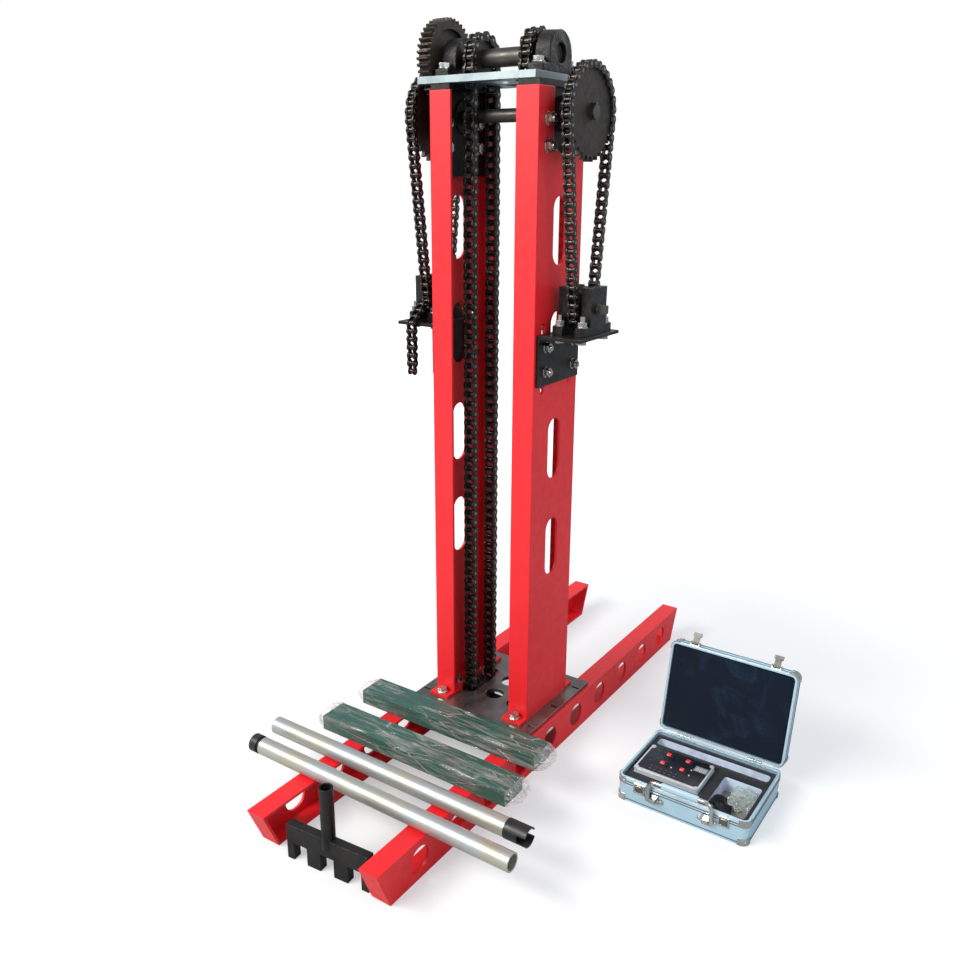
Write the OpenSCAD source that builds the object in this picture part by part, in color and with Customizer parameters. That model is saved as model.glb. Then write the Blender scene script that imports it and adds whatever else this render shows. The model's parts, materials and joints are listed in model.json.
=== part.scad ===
// Hand-cranked soil penetrometer rig with its loose kit, all lengths in millimetres.
// Built from the floor up, then shifted so that the probe guide bore is the origin.

/* [Rails] */
// length of each ground rail
rail_len = 1200; // [1000:10:1300]
// height of a ground rail
rail_h = 78; // [70:1:90]
// width of the rail flange
rail_flange = 40; // [34:1:50]
// sheet thickness of the rails
rail_wall = 5; // [3:0.5:6]
// width over both rails
rail_gauge = 300; // [296:1:330]
// how far the slanted rail ends are cut back at the floor
rail_slant = 32; // [10:1:45]
// how much further the rails reach to the back than to the front
rail_bias = 12; // [0:1:30]
// bore of the round holes in the rails
rail_hole_d = 50; // [30:1:56]
// spacing of the round holes along a rail
rail_hole_pitch = 109.5; // [90:0.5:115]

/* [Base plate] */
// thickness of the base plate
base_t = 8; // [6:1:12]
// how far the base plate stays inside the outer rail faces
base_inset = 7; // [5:1:10]
// front to back size of the base plate
base_depth = 260; // [240:2:280]
// bore that guides the probe rods
guide_d = 40; // [36:1:44]
// how far the guide bore lies in front of the column centre
guide_offset = 28; // [24:1:32]
// spacing between the guide bore and the spare bore behind it
guide_pitch = 63; // [56:1:70]
// bore of the rod holes in the top plate
top_bore_d = 46; // [40:1:50]
// width of the chain slots
slot_w = 36; // [34:1:38]
// length of the chain slots in the base plate
slot_len = 118; // [114:1:130]
// length of the weld slits along the plate edges
slit_len = 17; // [12:1:18]
// width of the weld slits
slit_w = 5; // [3:0.5:7]

/* [Columns] */
// height of the two columns
column_h = 1200; // [1180:5:1300]
// front to back size of a column
column_depth = 160; // [150:1:180]
// width of the column flange
column_flange = 45; // [40:1:48]
// sheet thickness of the columns
column_wall = 5; // [4:0.5:6]
// width over both columns
column_gauge = 228; // [224:1:240]
// height of the long windows in the column webs
window_h = 120; // [80:1:130]
// width of the long windows
window_w = 45; // [30:1:60]
// spacing of the windows up the column
window_pitch = 203; // [190:1:210]
// height of the lowest window centre over the floor
window_low = 445; // [430:1:460]
// thickness of the foot plates
foot_t = 6; // [5:1:8]
// how far the foot plates reach out in front and behind
foot_reach = 25; // [22:1:30]
// thickness of the blocks that close the column tops
cap_t = 11; // [8:1:14]
// thickness of the top plate
top_t = 12; // [10:1:14]
// how far the top plate reaches past the left column
top_left = 27; // [26:1:30]
// how far the top plate stays inside the right column face
top_right = 8; // [4:1:10]

/* [Drive] */
// how far the drive shafts lie behind the column centre
drive_back = 4; // [0:1:8]
// height of the drive shaft over the top plate, before it is set to a whole link of chain
drive_h = 32; // [30:0.5:36]
// diameter of the drive shaft
drive_d = 32; // [28:1:34]
// module of the spur gears
gear_module = 3.5; // [3.3:0.05:3.6]
// teeth of the drive gear
gear_teeth = 40; // [36:1:42]
// teeth of the pinion
pinion_teeth = 15; // [14:1:17]
// face width of the gears
gear_w = 25; // [20:1:26]
// pitch of the main chains
main_pitch = 19.05; // [18.8:0.05:19.3]
// teeth of the main sprockets
main_teeth = 12; // [12:2:12]
// distance between the main chains and the middle of the rig
main_x = 58; // [56:1:60]
// height of the lower shaft over the floor
lower_h = 51.6; // [50:0.2:54]
// pitch of the side chains
side_pitch = 15.875; // [15.7:0.025:16]
// teeth of the side sprockets
side_teeth = 30; // [28:2:30]
// teeth of the crank sprockets
crank_teeth = 14; // [12:2:14]
// links in each side chain
side_links = 64; // [60:4:68]
// distance between the side chains and the middle of the rig
side_x = 164; // [163:0.5:168]
// diameter of the counter shaft
counter_d = 24; // [20:1:26]
// diameter of the crank shafts
crank_d = 20; // [18:1:22]
// side of the square crank stubs
stub_side = 15; // [12:0.5:16]
// length of the square crank stubs
stub_len = 15; // [12:1:25]
// diameter of the lower shaft
lower_d = 20; // [18:1:24]
// clearance between a turning shaft and its bearing
shaft_fit = 0.05; // [0.03:0.01:0.08]

/* [Bearings and brackets] */
// thickness of the counter shaft bearing plates
plate_t = 10; // [8:1:12]
// height of the counter shaft bearing plates
plate_h = 146; // [130:1:150]
// diameter of the counter shaft bearing hubs
hub_d = 60; // [50:1:62]
// width of the notch in the column top for the hub
notch_w = 64; // [63:1:70]
// width of the cast blocks on the top plate
block_w = 30; // [26:1:34]
// outer radius of the cast blocks
block_r = 38; // [34:1:40]
// height of the feet of the cast blocks
block_foot_h = 14; // [10:1:16]
// thickness of the crank bracket plates
bracket_t = 6; // [5:1:8]
// front to back size of the crank brackets
bracket_w = 148; // [140:1:150]
// height of the upright leg of a crank bracket
bracket_h = 95; // [90:1:105]
// reach of the shelf out from the column
shelf_reach = 90; // [86:1:96]
// thickness of the crank bearing blocks
crank_block_t = 20; // [18:1:22]
// width of the upright of a crank bearing block
crank_block_w = 58; // [50:1:62]
// width over the feet of a crank bearing block
crank_foot_w = 101; // [96:1:110]
// height of the feet of a crank bearing block
crank_foot_h = 16; // [12:1:20]
// height of a crank bearing block
crank_block_h = 84; // [74:1:90]
// height of the crank shaft over the shelf
crank_h = 44.8; // [44.6:0.1:48]
// distance between the side chain and each crank block
crank_gap = 13; // [12:0.5:14]

/* [Fasteners] */
// thread size of the frame bolts
bolt_d = 12; // [10:1:12]
// thread size of the bracket bolts and block studs
stud_d = 10; // [8:1:10]

/* [Loose kit] */
// outer diameter of the two loose tubes
tube_d = 34; // [30:1:38]
// wall of the loose tubes
tube_wall = 3; // [2:0.5:4]
// length of the back tube
tube_back_len = 551; // [500:1:600]
// length of the front tube
tube_front_len = 571; // [500:1:600]
// length of the back green beam
beam_back_len = 425; // [400:1:450]
// length of the front green beam
beam_front_len = 438; // [400:1:450]
// width of the green beams
beam_w = 60; // [50:1:64]
// height of the green beams
beam_h = 30; // [25:1:36]
// thickness of the plastic film round the beams
film_t = 0.4; // [0.3:0.1:0.6]
// width of the fork tool
fork_w = 176; // [160:1:184]
// thickness of the fork tool
fork_t = 17; // [14:1:20]
// height of the fork tool head
fork_h = 70; // [60:1:80]
// height of the fork tool teeth
fork_tooth = 35; // [25:1:40]
// height of the open top of the fork tool tube
fork_top = 172; // [150:1:200]
// outer diameter of the fork tool tube
fork_tube_d = 25; // [22:1:28]

/* [Instrument case] */
// width of the instrument case
case_w = 257; // [245:1:270]
// depth of the instrument case
case_d = 188; // [180:1:200]
// height of the lower half of the case
case_h = 52; // [48:1:60]
// height of the lid
lid_h = 28; // [26:1:34]
// wall of the case
case_wall = 4; // [3:0.5:5]
// radius of the case corners
case_r = 12; // [8:1:14]
// opening angle of the lid in the photograph
lid_open = 101; // [95:1:110]
// distance between the rig's middle and the left side of the case
case_x = 328; // [310:1:360]
// distance from the column centre back to the rear of the case
case_back = 98; // [80:1:110]
// width of the instrument box
meter_w = 131; // [120:1:134]
// depth of the instrument box
meter_d = 90; // [80:1:94]
// how far the instrument box stands over the foam
meter_rise = 8; // [6:0.5:9]
// depth of the foam recesses
recess_h = 30; // [20:1:34]
// diameter of the coiled lead
lead_d = 3.6; // [3:0.1:3.8]
// radius of the outer loop of the lead
lead_r = 20; // [18:0.5:22]
// angle at which the coiled lead leans on the pocket's left wall
lead_lean = 30; // [10:1:34]
// travel of the red push buttons
button_travel = 1.5; // [1:0.1:2]

/* [Hidden] */
$fn = 48;
eps = 0.01;
rest_gap = 0.3;
guide_y = -guide_offset;
top_x0 = -column_gauge/2 - top_left;
top_x1 = column_gauge/2 - top_right;
base_z = rail_h;
foot_z = base_z + base_t;
column_z = foot_z + foot_t;
column_top = column_z + column_h;
top_z = column_top + cap_t;
// both main sprockets are alike, so the shafts lie a whole number of pitches apart
main_run = round((top_z + top_t + drive_h - lower_h)/main_pitch);
main_c = main_run*main_pitch;
lower_z = lower_h;
drive_z = lower_z + main_c;
drive_rise = drive_z - top_z - top_t;
counter_z = drive_z - gear_module*(gear_teeth + pinion_teeth)/2;
gear_rp = gear_module*gear_teeth/2;
gear_ra = gear_rp + gear_module;
gear_x1 = top_x0 + 15;
gear_x0 = gear_x1 - gear_w;
// main chain
main_r = main_pitch/2/sin(180/main_teeth);
main_all = 2*main_run + main_teeth;
main_roller = 11.9;
main_gap = 12.6;
main_plate = 2.4;
main_plate_h = 17.5;
main_pin = 6;
// side chain, where the number of links sets the distance between the shafts
side_r = side_pitch/2/sin(180/side_teeth);
crank_r = side_pitch/2/sin(180/crank_teeth);
side_k = side_links - (side_teeth + crank_teeth)/2;
side_q = (side_teeth - crank_teeth)/(2*PI);
side_c = side_pitch/4*(side_k + sqrt(side_k*side_k - 8*side_q*side_q));
side_b = asin((side_r - crank_r)/side_c);
crank_z = counter_z - side_c;
side_roller = 10.1;
side_gap = 9.5;
side_plate = 2;
side_plate_h = 14.6;
side_pin = 5;
shelf_z = crank_z - crank_h;
bracket_x = column_gauge/2;
crank_in = side_x - crank_gap - crank_block_t;
crank_out = side_x + crank_gap;
hub_len = 13;
plate_x = column_gauge/2 - column_wall - plate_t;
bolt_rows = [column_top - 52, column_top - 96];
bolt_y = 50;
bracket_bolt_y = 50;
bracket_bolt_z = [shelf_z - 24, shelf_z - 69];
foot_bolts_y = [-column_depth/2 - foot_reach/2, -34, 34, column_depth/2 + foot_reach/2];
foot_bolt_x = column_gauge/2 - column_flange/2;
block_x1 = top_x1;
block_left_x = top_x0 + 21;
block_foot_y = block_r + bolt_d + 0.5;
bearing_rim = 12;
bearing_step = 22;
bearing_foot = 10;
seat_gap = 0.3;
plate_gap = 0.2;
pin_fit = 0.1;
beam_y = [-178, -298];
tube_y = [-389, -456];
tube_x = [-284, -252];
plug_l = 14;
seat_d = tube_d - 2*tube_wall + 0.8;
beam_wall = 3;
fork_x = 12;
fork_y = -558;
fork_turn = 4.4;
lid_gap = 0.6;
hinge_out = 3;
case_front = case_back - case_d;
floor_t = 3;
foam_z = case_h - meter_rise;
meter_x = 15;
meter_y = 36;
meter_h = 34;
recess_x = 14;
recess_y = 148;
recess_w = 229;
recess_d = 22;
pocket_x = 170;
pocket_y = 17;
pocket_w = 73;
pocket_d = 103;
recess_r = 6;
button_pts = [[42, 75], [82, 75], [42, 43], [82, 43]];
button_w = 9;
button_h = 7;
lead_y = 54;
lead_turns = 3;
lead_step = 4.6;
lead_tail = 9;
plug_d = 6;
lead_x = pocket_x + rest_gap + lead_r*cos(lead_lean) + plug_d/2 - (lead_d/2 + lead_step)*sin(lead_lean);
latch_x = 45;
tongue = 22;
tongue_rest = 30;
pivot_y = -8.5;
grip_h = 40;
grip_d = 13;
arm_d = 6;
arm_x = 9.6;
mount_x = 76;
handle_z = 28;

// general helpers

// moves a piece from the floor frame to the frame of the guide bore
module rig() { translate([0, -guide_y, -rail_h]) children(); }

// turns a flat outline drawn in front-to-back and height into a piece along the width
module across(x0, w) { translate([x0, 0, 0]) rotate([90, 0, 90]) linear_extrude(w) children(); }

// a round bar along the width
module bar_x(x0, x1, d, y, z) {
  translate([x0, y, z]) rotate([0, 90, 0]) cylinder(d = d, h = x1 - x0);
}

// a slot with round ends, its long way along the second axis
module slot2d(w, l) {
  translate([-w/2, -(l - w)/2]) square([w, l - w]);
  for (s = [-1, 1]) translate([0, s*(l - w)/2]) circle(d = w);
}

// a rectangle with round corners, from the origin
module round2d(w, d, r) {
  translate([r, 0]) square([w - 2*r, d]);
  translate([0, r]) square([w, d - 2*r]);
  for (x = [r, w - r]) for (y = [r, d - r]) translate([x, y]) circle(r = r);
}

// a hexagon head or nut, across its flats
module hexagon(flats, h) { cylinder(d = flats/cos(30), h = h, $fn = 6); }

// rails

module rail_side2d(inset) {
  f = -rail_len/2 + rail_bias/2;
  b = rail_len/2 + rail_bias/2;
  s = rail_slant/rail_h;
  e = inset*sqrt(1 + s*s);
  zt = rail_h - inset;
  polygon([[f + e + s*inset, zt], [b - e - s*inset, zt],
    [b - e - rail_slant + s*inset, inset], [f + e + rail_slant - s*inset, inset]]);
}

module rail(side) {
  count = floor((rail_len - 130)/rail_hole_pitch) + 1;
  first = -(count - 1)*rail_hole_pitch/2 + rail_bias/2 + 4;
  x_out = rail_gauge/2;
  color("crimson") rig() mirror([side > 0 ? 0 : 1, 0, 0]) difference() {
    across(x_out - rail_flange, rail_flange) rail_side2d(0);
    across(x_out - rail_flange - 1, rail_flange - rail_wall + 1) rail_side2d(rail_wall);
    for (i = [0:count - 1])
      bar_x(x_out - rail_wall - 1, x_out + 1, rail_hole_d, first + i*rail_hole_pitch, rail_h/2);
  }
}

module rail_left() rail(-1);
module rail_right() rail(1);

// base plate and top plate

module bores2d(d) {
  translate([0, guide_y]) circle(d = d);
  translate([0, guide_y + guide_pitch]) circle(d = d);
}

module base_plate() {
  w = rail_gauge - 2*base_inset;
  color("dimgray") rig() translate([0, 0, base_z]) difference() {
    linear_extrude(base_t) difference() {
      translate([-w/2, -base_depth/2]) square([w, base_depth]);
      bores2d(guide_d);
      for (s = [-1, 1]) translate([s*main_x, drive_back]) slot2d(slot_w, slot_len);
      for (s = [-1, 1]) for (y = [-92, 0, 92])
        translate([s*(w/2 - 3 - slit_len/2) - slit_len/2, y - slit_w/2]) square([slit_len, slit_w]);
    }
    for (s = [-1, 1]) for (y = foot_bolts_y) translate([s*foot_bolt_x, y, -1])
      cylinder(d = bolt_d + 0.1, h = base_t + 2);
  }
}

module foot_plates() {
  l = column_depth + 2*foot_reach;
  color("crimson") rig() for (s = [-1, 1]) difference() {
    translate([s > 0 ? column_gauge/2 - column_flange : -column_gauge/2, -l/2, foot_z])
      cube([column_flange, l, foot_t]);
    for (y = foot_bolts_y) translate([s*foot_bolt_x, y, foot_z - 1])
      cylinder(d = bolt_d + 0.1, h = foot_t + 2);
    translate([s*main_x, drive_back, foot_z - 1]) linear_extrude(foot_t + 2) slot2d(slot_w, slot_len);
  }
}

// columns

module column(side) {
  x_out = column_gauge/2;
  n = floor((column_top - window_low - 100)/window_pitch) + 1;
  color("crimson") rig() mirror([side > 0 ? 0 : 1, 0, 0]) difference() {
    translate([x_out - column_flange, -column_depth/2, column_z])
      cube([column_flange, column_depth, column_h]);
    translate([x_out - column_flange - 1, -column_depth/2 + column_wall, column_z - 1])
      cube([column_flange - column_wall + 1, column_depth - 2*column_wall, column_h + 2]);
    for (i = [0:3]) across(x_out - column_wall - 1, column_wall + 2)
      translate([0, window_low + i*window_pitch]) slot2d(window_w, window_h);
    for (y = [-bracket_bolt_y, bracket_bolt_y]) across(x_out - column_wall - 1, column_wall + 2)
      translate([y, (bracket_bolt_z[0] + bracket_bolt_z[1])/2]) slot2d(stud_d + 0.4, 130);
    across(x_out - column_wall - 1, column_wall + 2) {
      translate([drive_back, counter_z - 34]) circle(d = notch_w);
      translate([drive_back - notch_w/2, counter_z - 34]) square([notch_w, plate_h]);
    }
    for (y = [-bolt_y, bolt_y]) for (z = bolt_rows)
      bar_x(x_out - column_wall - 1, x_out + 1, bolt_d + 0.1, y, z);
  }
}

module column_left() column(-1);
module column_right() column(1);

module column_caps() {
  color("dimgray") rig() for (s = [-1, 1]) mirror([s > 0 ? 0 : 1, 0, 0])
    translate([column_gauge/2 - column_flange + 3, -column_depth/2 + 2, column_top])
      cube([column_flange - 4, column_depth - 4, cap_t]);
}

module top_plate() {
  r = gear_ra + 4;
  half = sqrt(r*r - (drive_rise + top_t/2)*(drive_rise + top_t/2)) + 3;
  color("lightgray") rig() translate([0, 0, top_z]) difference() {
    linear_extrude(top_t) difference() {
      translate([top_x0, -column_depth/2]) square([top_x1 - top_x0, column_depth]);
      bores2d(top_bore_d);
      for (s = [-1, 1]) translate([s*main_x, drive_back]) slot2d(slot_w - 2, 2*main_r + 40);
      translate([top_x0 - 1, drive_back - half]) square([gear_x1 + 3 - top_x0 + 1, 2*half]);
    }
    for (x = [block_left_x + block_w/2, block_x1 - block_w/2])
      for (y = [-block_foot_y, block_foot_y])
        translate([x, y + drive_back, -1]) cylinder(d = bolt_d + 0.1, h = top_t + 2);
  }
}

// bearings

module bearing_plates() {
  y0 = -column_depth/2 + column_wall + rest_gap;
  color("dimgray") rig() for (s = [-1, 1]) mirror([s > 0 ? 0 : 1, 0, 0]) difference() {
    union() {
      translate([plate_x, y0, column_top - plate_h]) cube([plate_t, -2*y0, plate_h]);
      bar_x(plate_x - 4, plate_x + plate_t + hub_len, hub_d, drive_back, counter_z);
    }
    bar_x(plate_x - 5, plate_x + plate_t + hub_len + 1, counter_d + 2*shaft_fit, drive_back, counter_z);
    for (y = [-bolt_y, bolt_y]) for (z = bolt_rows)
      bar_x(plate_x - 1, plate_x + plate_t + 1, bolt_d + 0.1, y, z);
  }
}

module block2d() {
  circle(r = block_r);
  translate([-block_r, -drive_rise]) square([2*block_r, drive_rise]);
  translate([-block_foot_y - 11, -drive_rise]) square([2*block_foot_y + 22, block_foot_h]);
}

module top_blocks() {
  color("dimgray") rig() for (x = [block_left_x, block_x1 - block_w]) difference() {
    intersection() {
      across(x, block_w) translate([drive_back, drive_z]) block2d();
      translate([x - 1, -column_depth, drive_z - drive_rise])
        cube([block_w + 2, 2*column_depth, drive_rise + 2*block_r]);
    }
    bar_x(x - 1, x + block_w + 1, drive_d + 2*shaft_fit, drive_back, drive_z);
    for (y = [-block_foot_y, block_foot_y])
      translate([x + block_w/2, y + drive_back, drive_z - drive_rise - 1])
        cylinder(d = bolt_d + 0.1, h = block_foot_h + 2);
  }
}

module lower_bearings() {
  r = lower_d/2 + bearing_rim;
  x0 = main_x + bearing_step;
  color("dimgray") rig() for (s = [-1, 1]) mirror([s > 0 ? 0 : 1, 0, 0]) difference() {
    across(x0, lower_d) translate([drive_back, 0]) {
      translate([0, lower_z]) circle(r = r);
      translate([-r, lower_z]) square([2*r, base_z - lower_z]);
      translate([-r - bearing_foot, base_z - bearing_foot]) square([2*(r + bearing_foot), bearing_foot]);
    }
    bar_x(x0 - 1, x0 + lower_d + 1, lower_d + 2*shaft_fit, drive_back, lower_z);
  }
}

// fasteners

module hex_bolt(l) {
  translate([0, 0, -l]) cylinder(d = bolt_d, h = l + eps);
  cylinder(d = bolt_d*2, h = 2.5);
  translate([0, 0, 2.5 - eps]) hexagon(bolt_d*1.5, bolt_d*0.62);
}

module hex_nut(d) {
  cylinder(d = d*2, h = 2);
  translate([0, 0, 2 - eps]) hexagon(d*1.6, d*0.8);
  cylinder(d = d, h = 2 + d*0.8 + 4);
}

module hex_bolts() {
  color("silver") rig() {
    for (s = [-1, 1]) for (y = foot_bolts_y) translate([s*foot_bolt_x, y, column_z])
      hex_bolt(foot_t + base_t);
    for (s = [-1, 1]) for (y = [-bolt_y, bolt_y]) for (z = bolt_rows) {
      translate([s*column_gauge/2, y, z]) rotate([0, s*90, 0]) hex_nut(bolt_d);
      translate([s*plate_x, y, z]) rotate([0, -s*90, 0]) hex_bolt(column_wall + plate_t);
    }
    for (x = [block_left_x + block_w/2, block_x1 - block_w/2])
      for (y = [-block_foot_y, block_foot_y])
        translate([x, y + drive_back, drive_z - drive_rise + block_foot_h])
          hex_bolt(block_foot_h + top_t);
  }
}

// crank brackets

module bracket(side) {
  color("dimgray") rig() mirror([side > 0 ? 0 : 1, 0, 0]) difference() {
    union() {
      translate([bracket_x, -bracket_w/2, shelf_z - bracket_h])
        cube([bracket_t, bracket_w, bracket_h]);
      translate([bracket_x, -bracket_w/2, shelf_z - bracket_t])
        cube([shelf_reach, bracket_w, bracket_t]);
    }
    for (y = [-bracket_bolt_y, bracket_bolt_y]) for (z = bracket_bolt_z)
      bar_x(bracket_x - 1, bracket_x + bracket_t + 1, stud_d + 0.1, y, z);
    for (x = [crank_in, crank_out]) for (y = [-1, 1])
      translate([x + crank_block_t/2, drive_back + y*(crank_foot_w/2 - 9), shelf_z - bracket_t - 1])
        cylinder(d = stud_d + 0.1, h = bracket_t + 2);
  }
}

module bracket_left() bracket(-1);
module bracket_right() bracket(1);

module bracket_bolts() {
  color("silver") rig() for (s = [-1, 1]) for (y = [-bracket_bolt_y, bracket_bolt_y])
    for (z = bracket_bolt_z) {
      translate([s*(bracket_x + bracket_t), y, z]) rotate([0, s*90, 0]) hex_nut(stud_d);
      translate([s*(bracket_x - column_wall), y, z]) rotate([0, -s*90, 0]) {
        translate([0, 0, -column_wall - bracket_t]) cylinder(d = stud_d, h = column_wall + bracket_t);
        cylinder(d = stud_d*2, h = 2);
        translate([0, 0, 2 - eps]) hexagon(stud_d*1.6, stud_d*0.65);
      }
    }
}

module crank_block2d() {
  translate([drive_back - crank_foot_w/2, shelf_z]) square([crank_foot_w, crank_foot_h]);
  translate([drive_back - crank_block_w/2, shelf_z]) square([crank_block_w, crank_block_h]);
}

module crank_blocks() {
  color("dimgray") rig() for (s = [-1, 1]) mirror([s > 0 ? 0 : 1, 0, 0])
    for (x = [crank_in, crank_out]) difference() {
      across(x, crank_block_t) crank_block2d();
      bar_x(x - 1, x + crank_block_t + 1, crank_d + 2*shaft_fit, drive_back, crank_z);
      for (y = [-1, 1]) translate([x + crank_block_t/2, drive_back + y*(crank_foot_w/2 - 9), shelf_z - 1])
        cylinder(d = stud_d + 0.1, h = crank_foot_h + 2);
    }
}

module block_studs() {
  color("silver") rig() for (s = [-1, 1]) for (x = [crank_in, crank_out]) for (y = [-1, 1])
    translate([s*(x + crank_block_t/2), drive_back + y*(crank_foot_w/2 - 9), 0]) {
      translate([0, 0, shelf_z - bracket_t]) cylinder(d = stud_d, h = bracket_t + crank_foot_h + 20);
      translate([0, 0, shelf_z + crank_foot_h]) hex_nut(stud_d);
      translate([0, 0, shelf_z - bracket_t]) mirror([0, 0, 1]) cylinder(d = stud_d*2, h = 2);
      translate([0, 0, shelf_z - bracket_t - 2 + eps]) mirror([0, 0, 1]) hexagon(stud_d*1.6, stud_d*0.65);
    }
}

// chains

// pin k of a main chain, counted from the front of the drive shaft downwards
function main_pin_at(i) = let(k = i % main_all, h = main_teeth/2, st = 360/main_teeth)
  k <= main_run ? [-main_r, -k*main_pitch] :
  k <= main_run + h ? let(a = 180 + (k - main_run)*st) [main_r*cos(a), -main_c + main_r*sin(a)] :
  k <= 2*main_run + h ? [main_r, -main_c + (k - main_run - h)*main_pitch] :
  let(a = (k - 2*main_run - h)*st) [main_r*cos(a), main_r*sin(a)];

// half of a side chain, s pitches down from the top of the side sprocket
side_h1 = (90 + side_b)/(360/side_teeth);
side_h2 = side_links/2 - (90 - side_b)/(360/crank_teeth);
function side_half_at(s) =
  s <= side_h1 ? let(a = 90 + s*360/side_teeth) [side_r*cos(a), side_r*sin(a)] :
  s <= side_h2 ? let(a = 180 + side_b, u = (s - side_h1)/(side_h2 - side_h1))
    [side_r*cos(a)*(1 - u) + crank_r*cos(a)*u,
     side_r*sin(a)*(1 - u) + (crank_r*sin(a) - side_c)*u] :
  let(a = 180 + side_b + (s - side_h2)*360/crank_teeth)
    [crank_r*cos(a), -side_c + crank_r*sin(a)];
function side_pin_at(i) = let(k = i % side_links)
  k <= side_links/2 ? side_half_at(k) : let(q = side_half_at(side_links - k)) [-q[0], q[1]];

// one link plate, from the first pin to the second
module plate2d(p, h) {
  for (x = [0, p]) translate([x, 0]) circle(d = h, $fn = 32);
  translate([0, -h*0.31]) square([p, h*0.62]);
}

module on_link(a, b) {
  translate(a) rotate(atan2(b[1] - a[1], b[0] - a[0])) children();
}

// links k0 to k1 of a list of pins, even links inside and odd links outside
module links(pts, k0, k1, p, h, t, gap, roller, pin) {
  even = [for (k = [k0:k1]) if (k % 2 == 0) k];
  odd = [for (k = [k0:k1]) if (k % 2 == 1) k];
  half = gap/2 + 2*t + plate_gap;
  free = [if (k0 % 2 == 0) pts[k0], if (k1 % 2 == 0) pts[k1 + 1]];
  rotate([90, 0, 90]) difference() {
    union() {
      for (s = [0, 1]) mirror([0, 0, s]) {
        for (k = even) translate([0, 0, gap/2]) linear_extrude(t)
          on_link(pts[k], pts[k + 1]) plate2d(p, h);
        for (k = odd) translate([0, 0, half - t]) linear_extrude(t)
          on_link(pts[k], pts[k + 1]) plate2d(p, h);
      }
      for (k = even) for (q = [pts[k], pts[k + 1]]) translate([q[0], q[1], -gap/2 - 0.1])
        cylinder(d = roller, h = gap + 0.2, $fn = 24);
      for (k = odd) for (q = [pts[k], pts[k + 1]]) translate([q[0], q[1], -half - 0.8])
        cylinder(d = pin, h = 2*half + 1.6, $fn = 16);
    }
    // open bushes where the next run of links puts its pin
    for (q = free) translate([q[0], q[1], -half]) cylinder(d = pin + 2*pin_fit, h = 2*half);
  }
}

// the straight strands stop where the teeth of a turning sprocket can't reach them
main_b0 = main_run + main_teeth/2;
main_f1 = 2*floor((main_run - 3)/2);
main_r0 = 2*ceil((main_b0 + 2)/2);
main_r1 = 2*floor((main_b0 + main_run - 3)/2);
side_f0 = 2*ceil((side_h1 + 2.5)/2);
side_f1 = 2*floor((side_h2 - 2.75)/2);
side_r0 = 2*ceil((side_links - side_h2 + 1.75)/2);
side_r1 = 2*floor((side_links - side_h1 - 3.5)/2);
main_pts = [for (k = [0:main_all + 2]) main_pin_at(k)];
side_pts = [for (k = [0:side_links + side_f0]) side_pin_at(k)];

module main_links(k0, k1, side) {
  rig() translate([side*main_x, drive_back, drive_z])
    links(main_pts, k0, k1, main_pitch, main_plate_h, main_plate, main_gap, main_roller, main_pin);
}

module side_links_run(k0, k1, side) {
  rig() translate([side*side_x, drive_back, counter_z])
    links(side_pts, k0, k1, side_pitch, side_plate_h, side_plate, side_gap, side_roller, side_pin);
}

module main_strands(side) {
  color("darkslategray") {
    main_links(2, main_f1, side);
    main_links(main_r0, main_r1, side);
  }
}
module main_chain_left() main_strands(-1);
module main_chain_right() main_strands(1);

module main_chain_ends() {
  color("darkslategray") for (s = [-1, 1]) {
    main_links(main_f1 + 1, main_r0 - 1, s);
    main_links(main_r1 + 1, main_all + 1, s);
  }
}

module side_strands(side) {
  color("darkslategray") {
    side_links_run(side_f0, side_f1, side);
    side_links_run(side_r0, side_r1, side);
  }
}
module side_chain_left() side_strands(-1);
module side_chain_right() side_strands(1);

module side_chain_ends() {
  color("darkslategray") for (s = [-1, 1]) {
    side_links_run(side_f1 + 1, side_r0 - 1, s);
    side_links_run(side_r1 + 1, side_links + side_f0 - 1, s);
  }
}

// the loose end that leans on the front strand and hangs over the edge of the left shelf
tail_y = -bracket_w/2 - side_plate_h/2 - rest_gap;
tail_up = 3;
tail_down = 6;
tail_lean = acos((drive_back - crank_r - side_plate_h - rest_gap - tail_y)/(tail_up*side_pitch));
tail_pts = concat(
  [for (k = [tail_up:-1:1])
    [tail_y + k*side_pitch*cos(tail_lean), shelf_z + k*side_pitch*sin(tail_lean)]],
  [for (k = [0:tail_down]) [tail_y, shelf_z - k*side_pitch]]);

module chain_tail() {
  color("darkslategray") rig() translate([-side_x, 0, 0])
    links(tail_pts, 0, tail_up + tail_down - 1, side_pitch, side_plate_h, side_plate, side_gap,
      side_roller, side_pin);
}

// gears and sprockets

function involute(rb, r) = r <= rb ? 0 : sqrt(r*r/(rb*rb) - 1)*180/PI - acos(rb/r);

// outline points of a spur gear with a tooth centred on angle zero
function gear_points(m, z, thin) =
  let(rp = m*z/2, rb = rp*cos(20), ra = rp + m, rf = rp - 1.25*m,
    half = 90/z - thin, list = [rf, max(rf + 0.2, rb), (rb + rp)/2 > rf ? (rp + rb)/2 : rp,
      (rp + ra)/2, ra])
  [for (i = [0:z - 1]) for (j = [0:9])
    let(r = list[j < 5 ? j : 9 - j],
      a = half + involute(rb, rp) - involute(rb, max(r, rb)),
      g = i*360/z + (j < 5 ? -a : a))
    [r*cos(g), r*sin(g)]];

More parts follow.
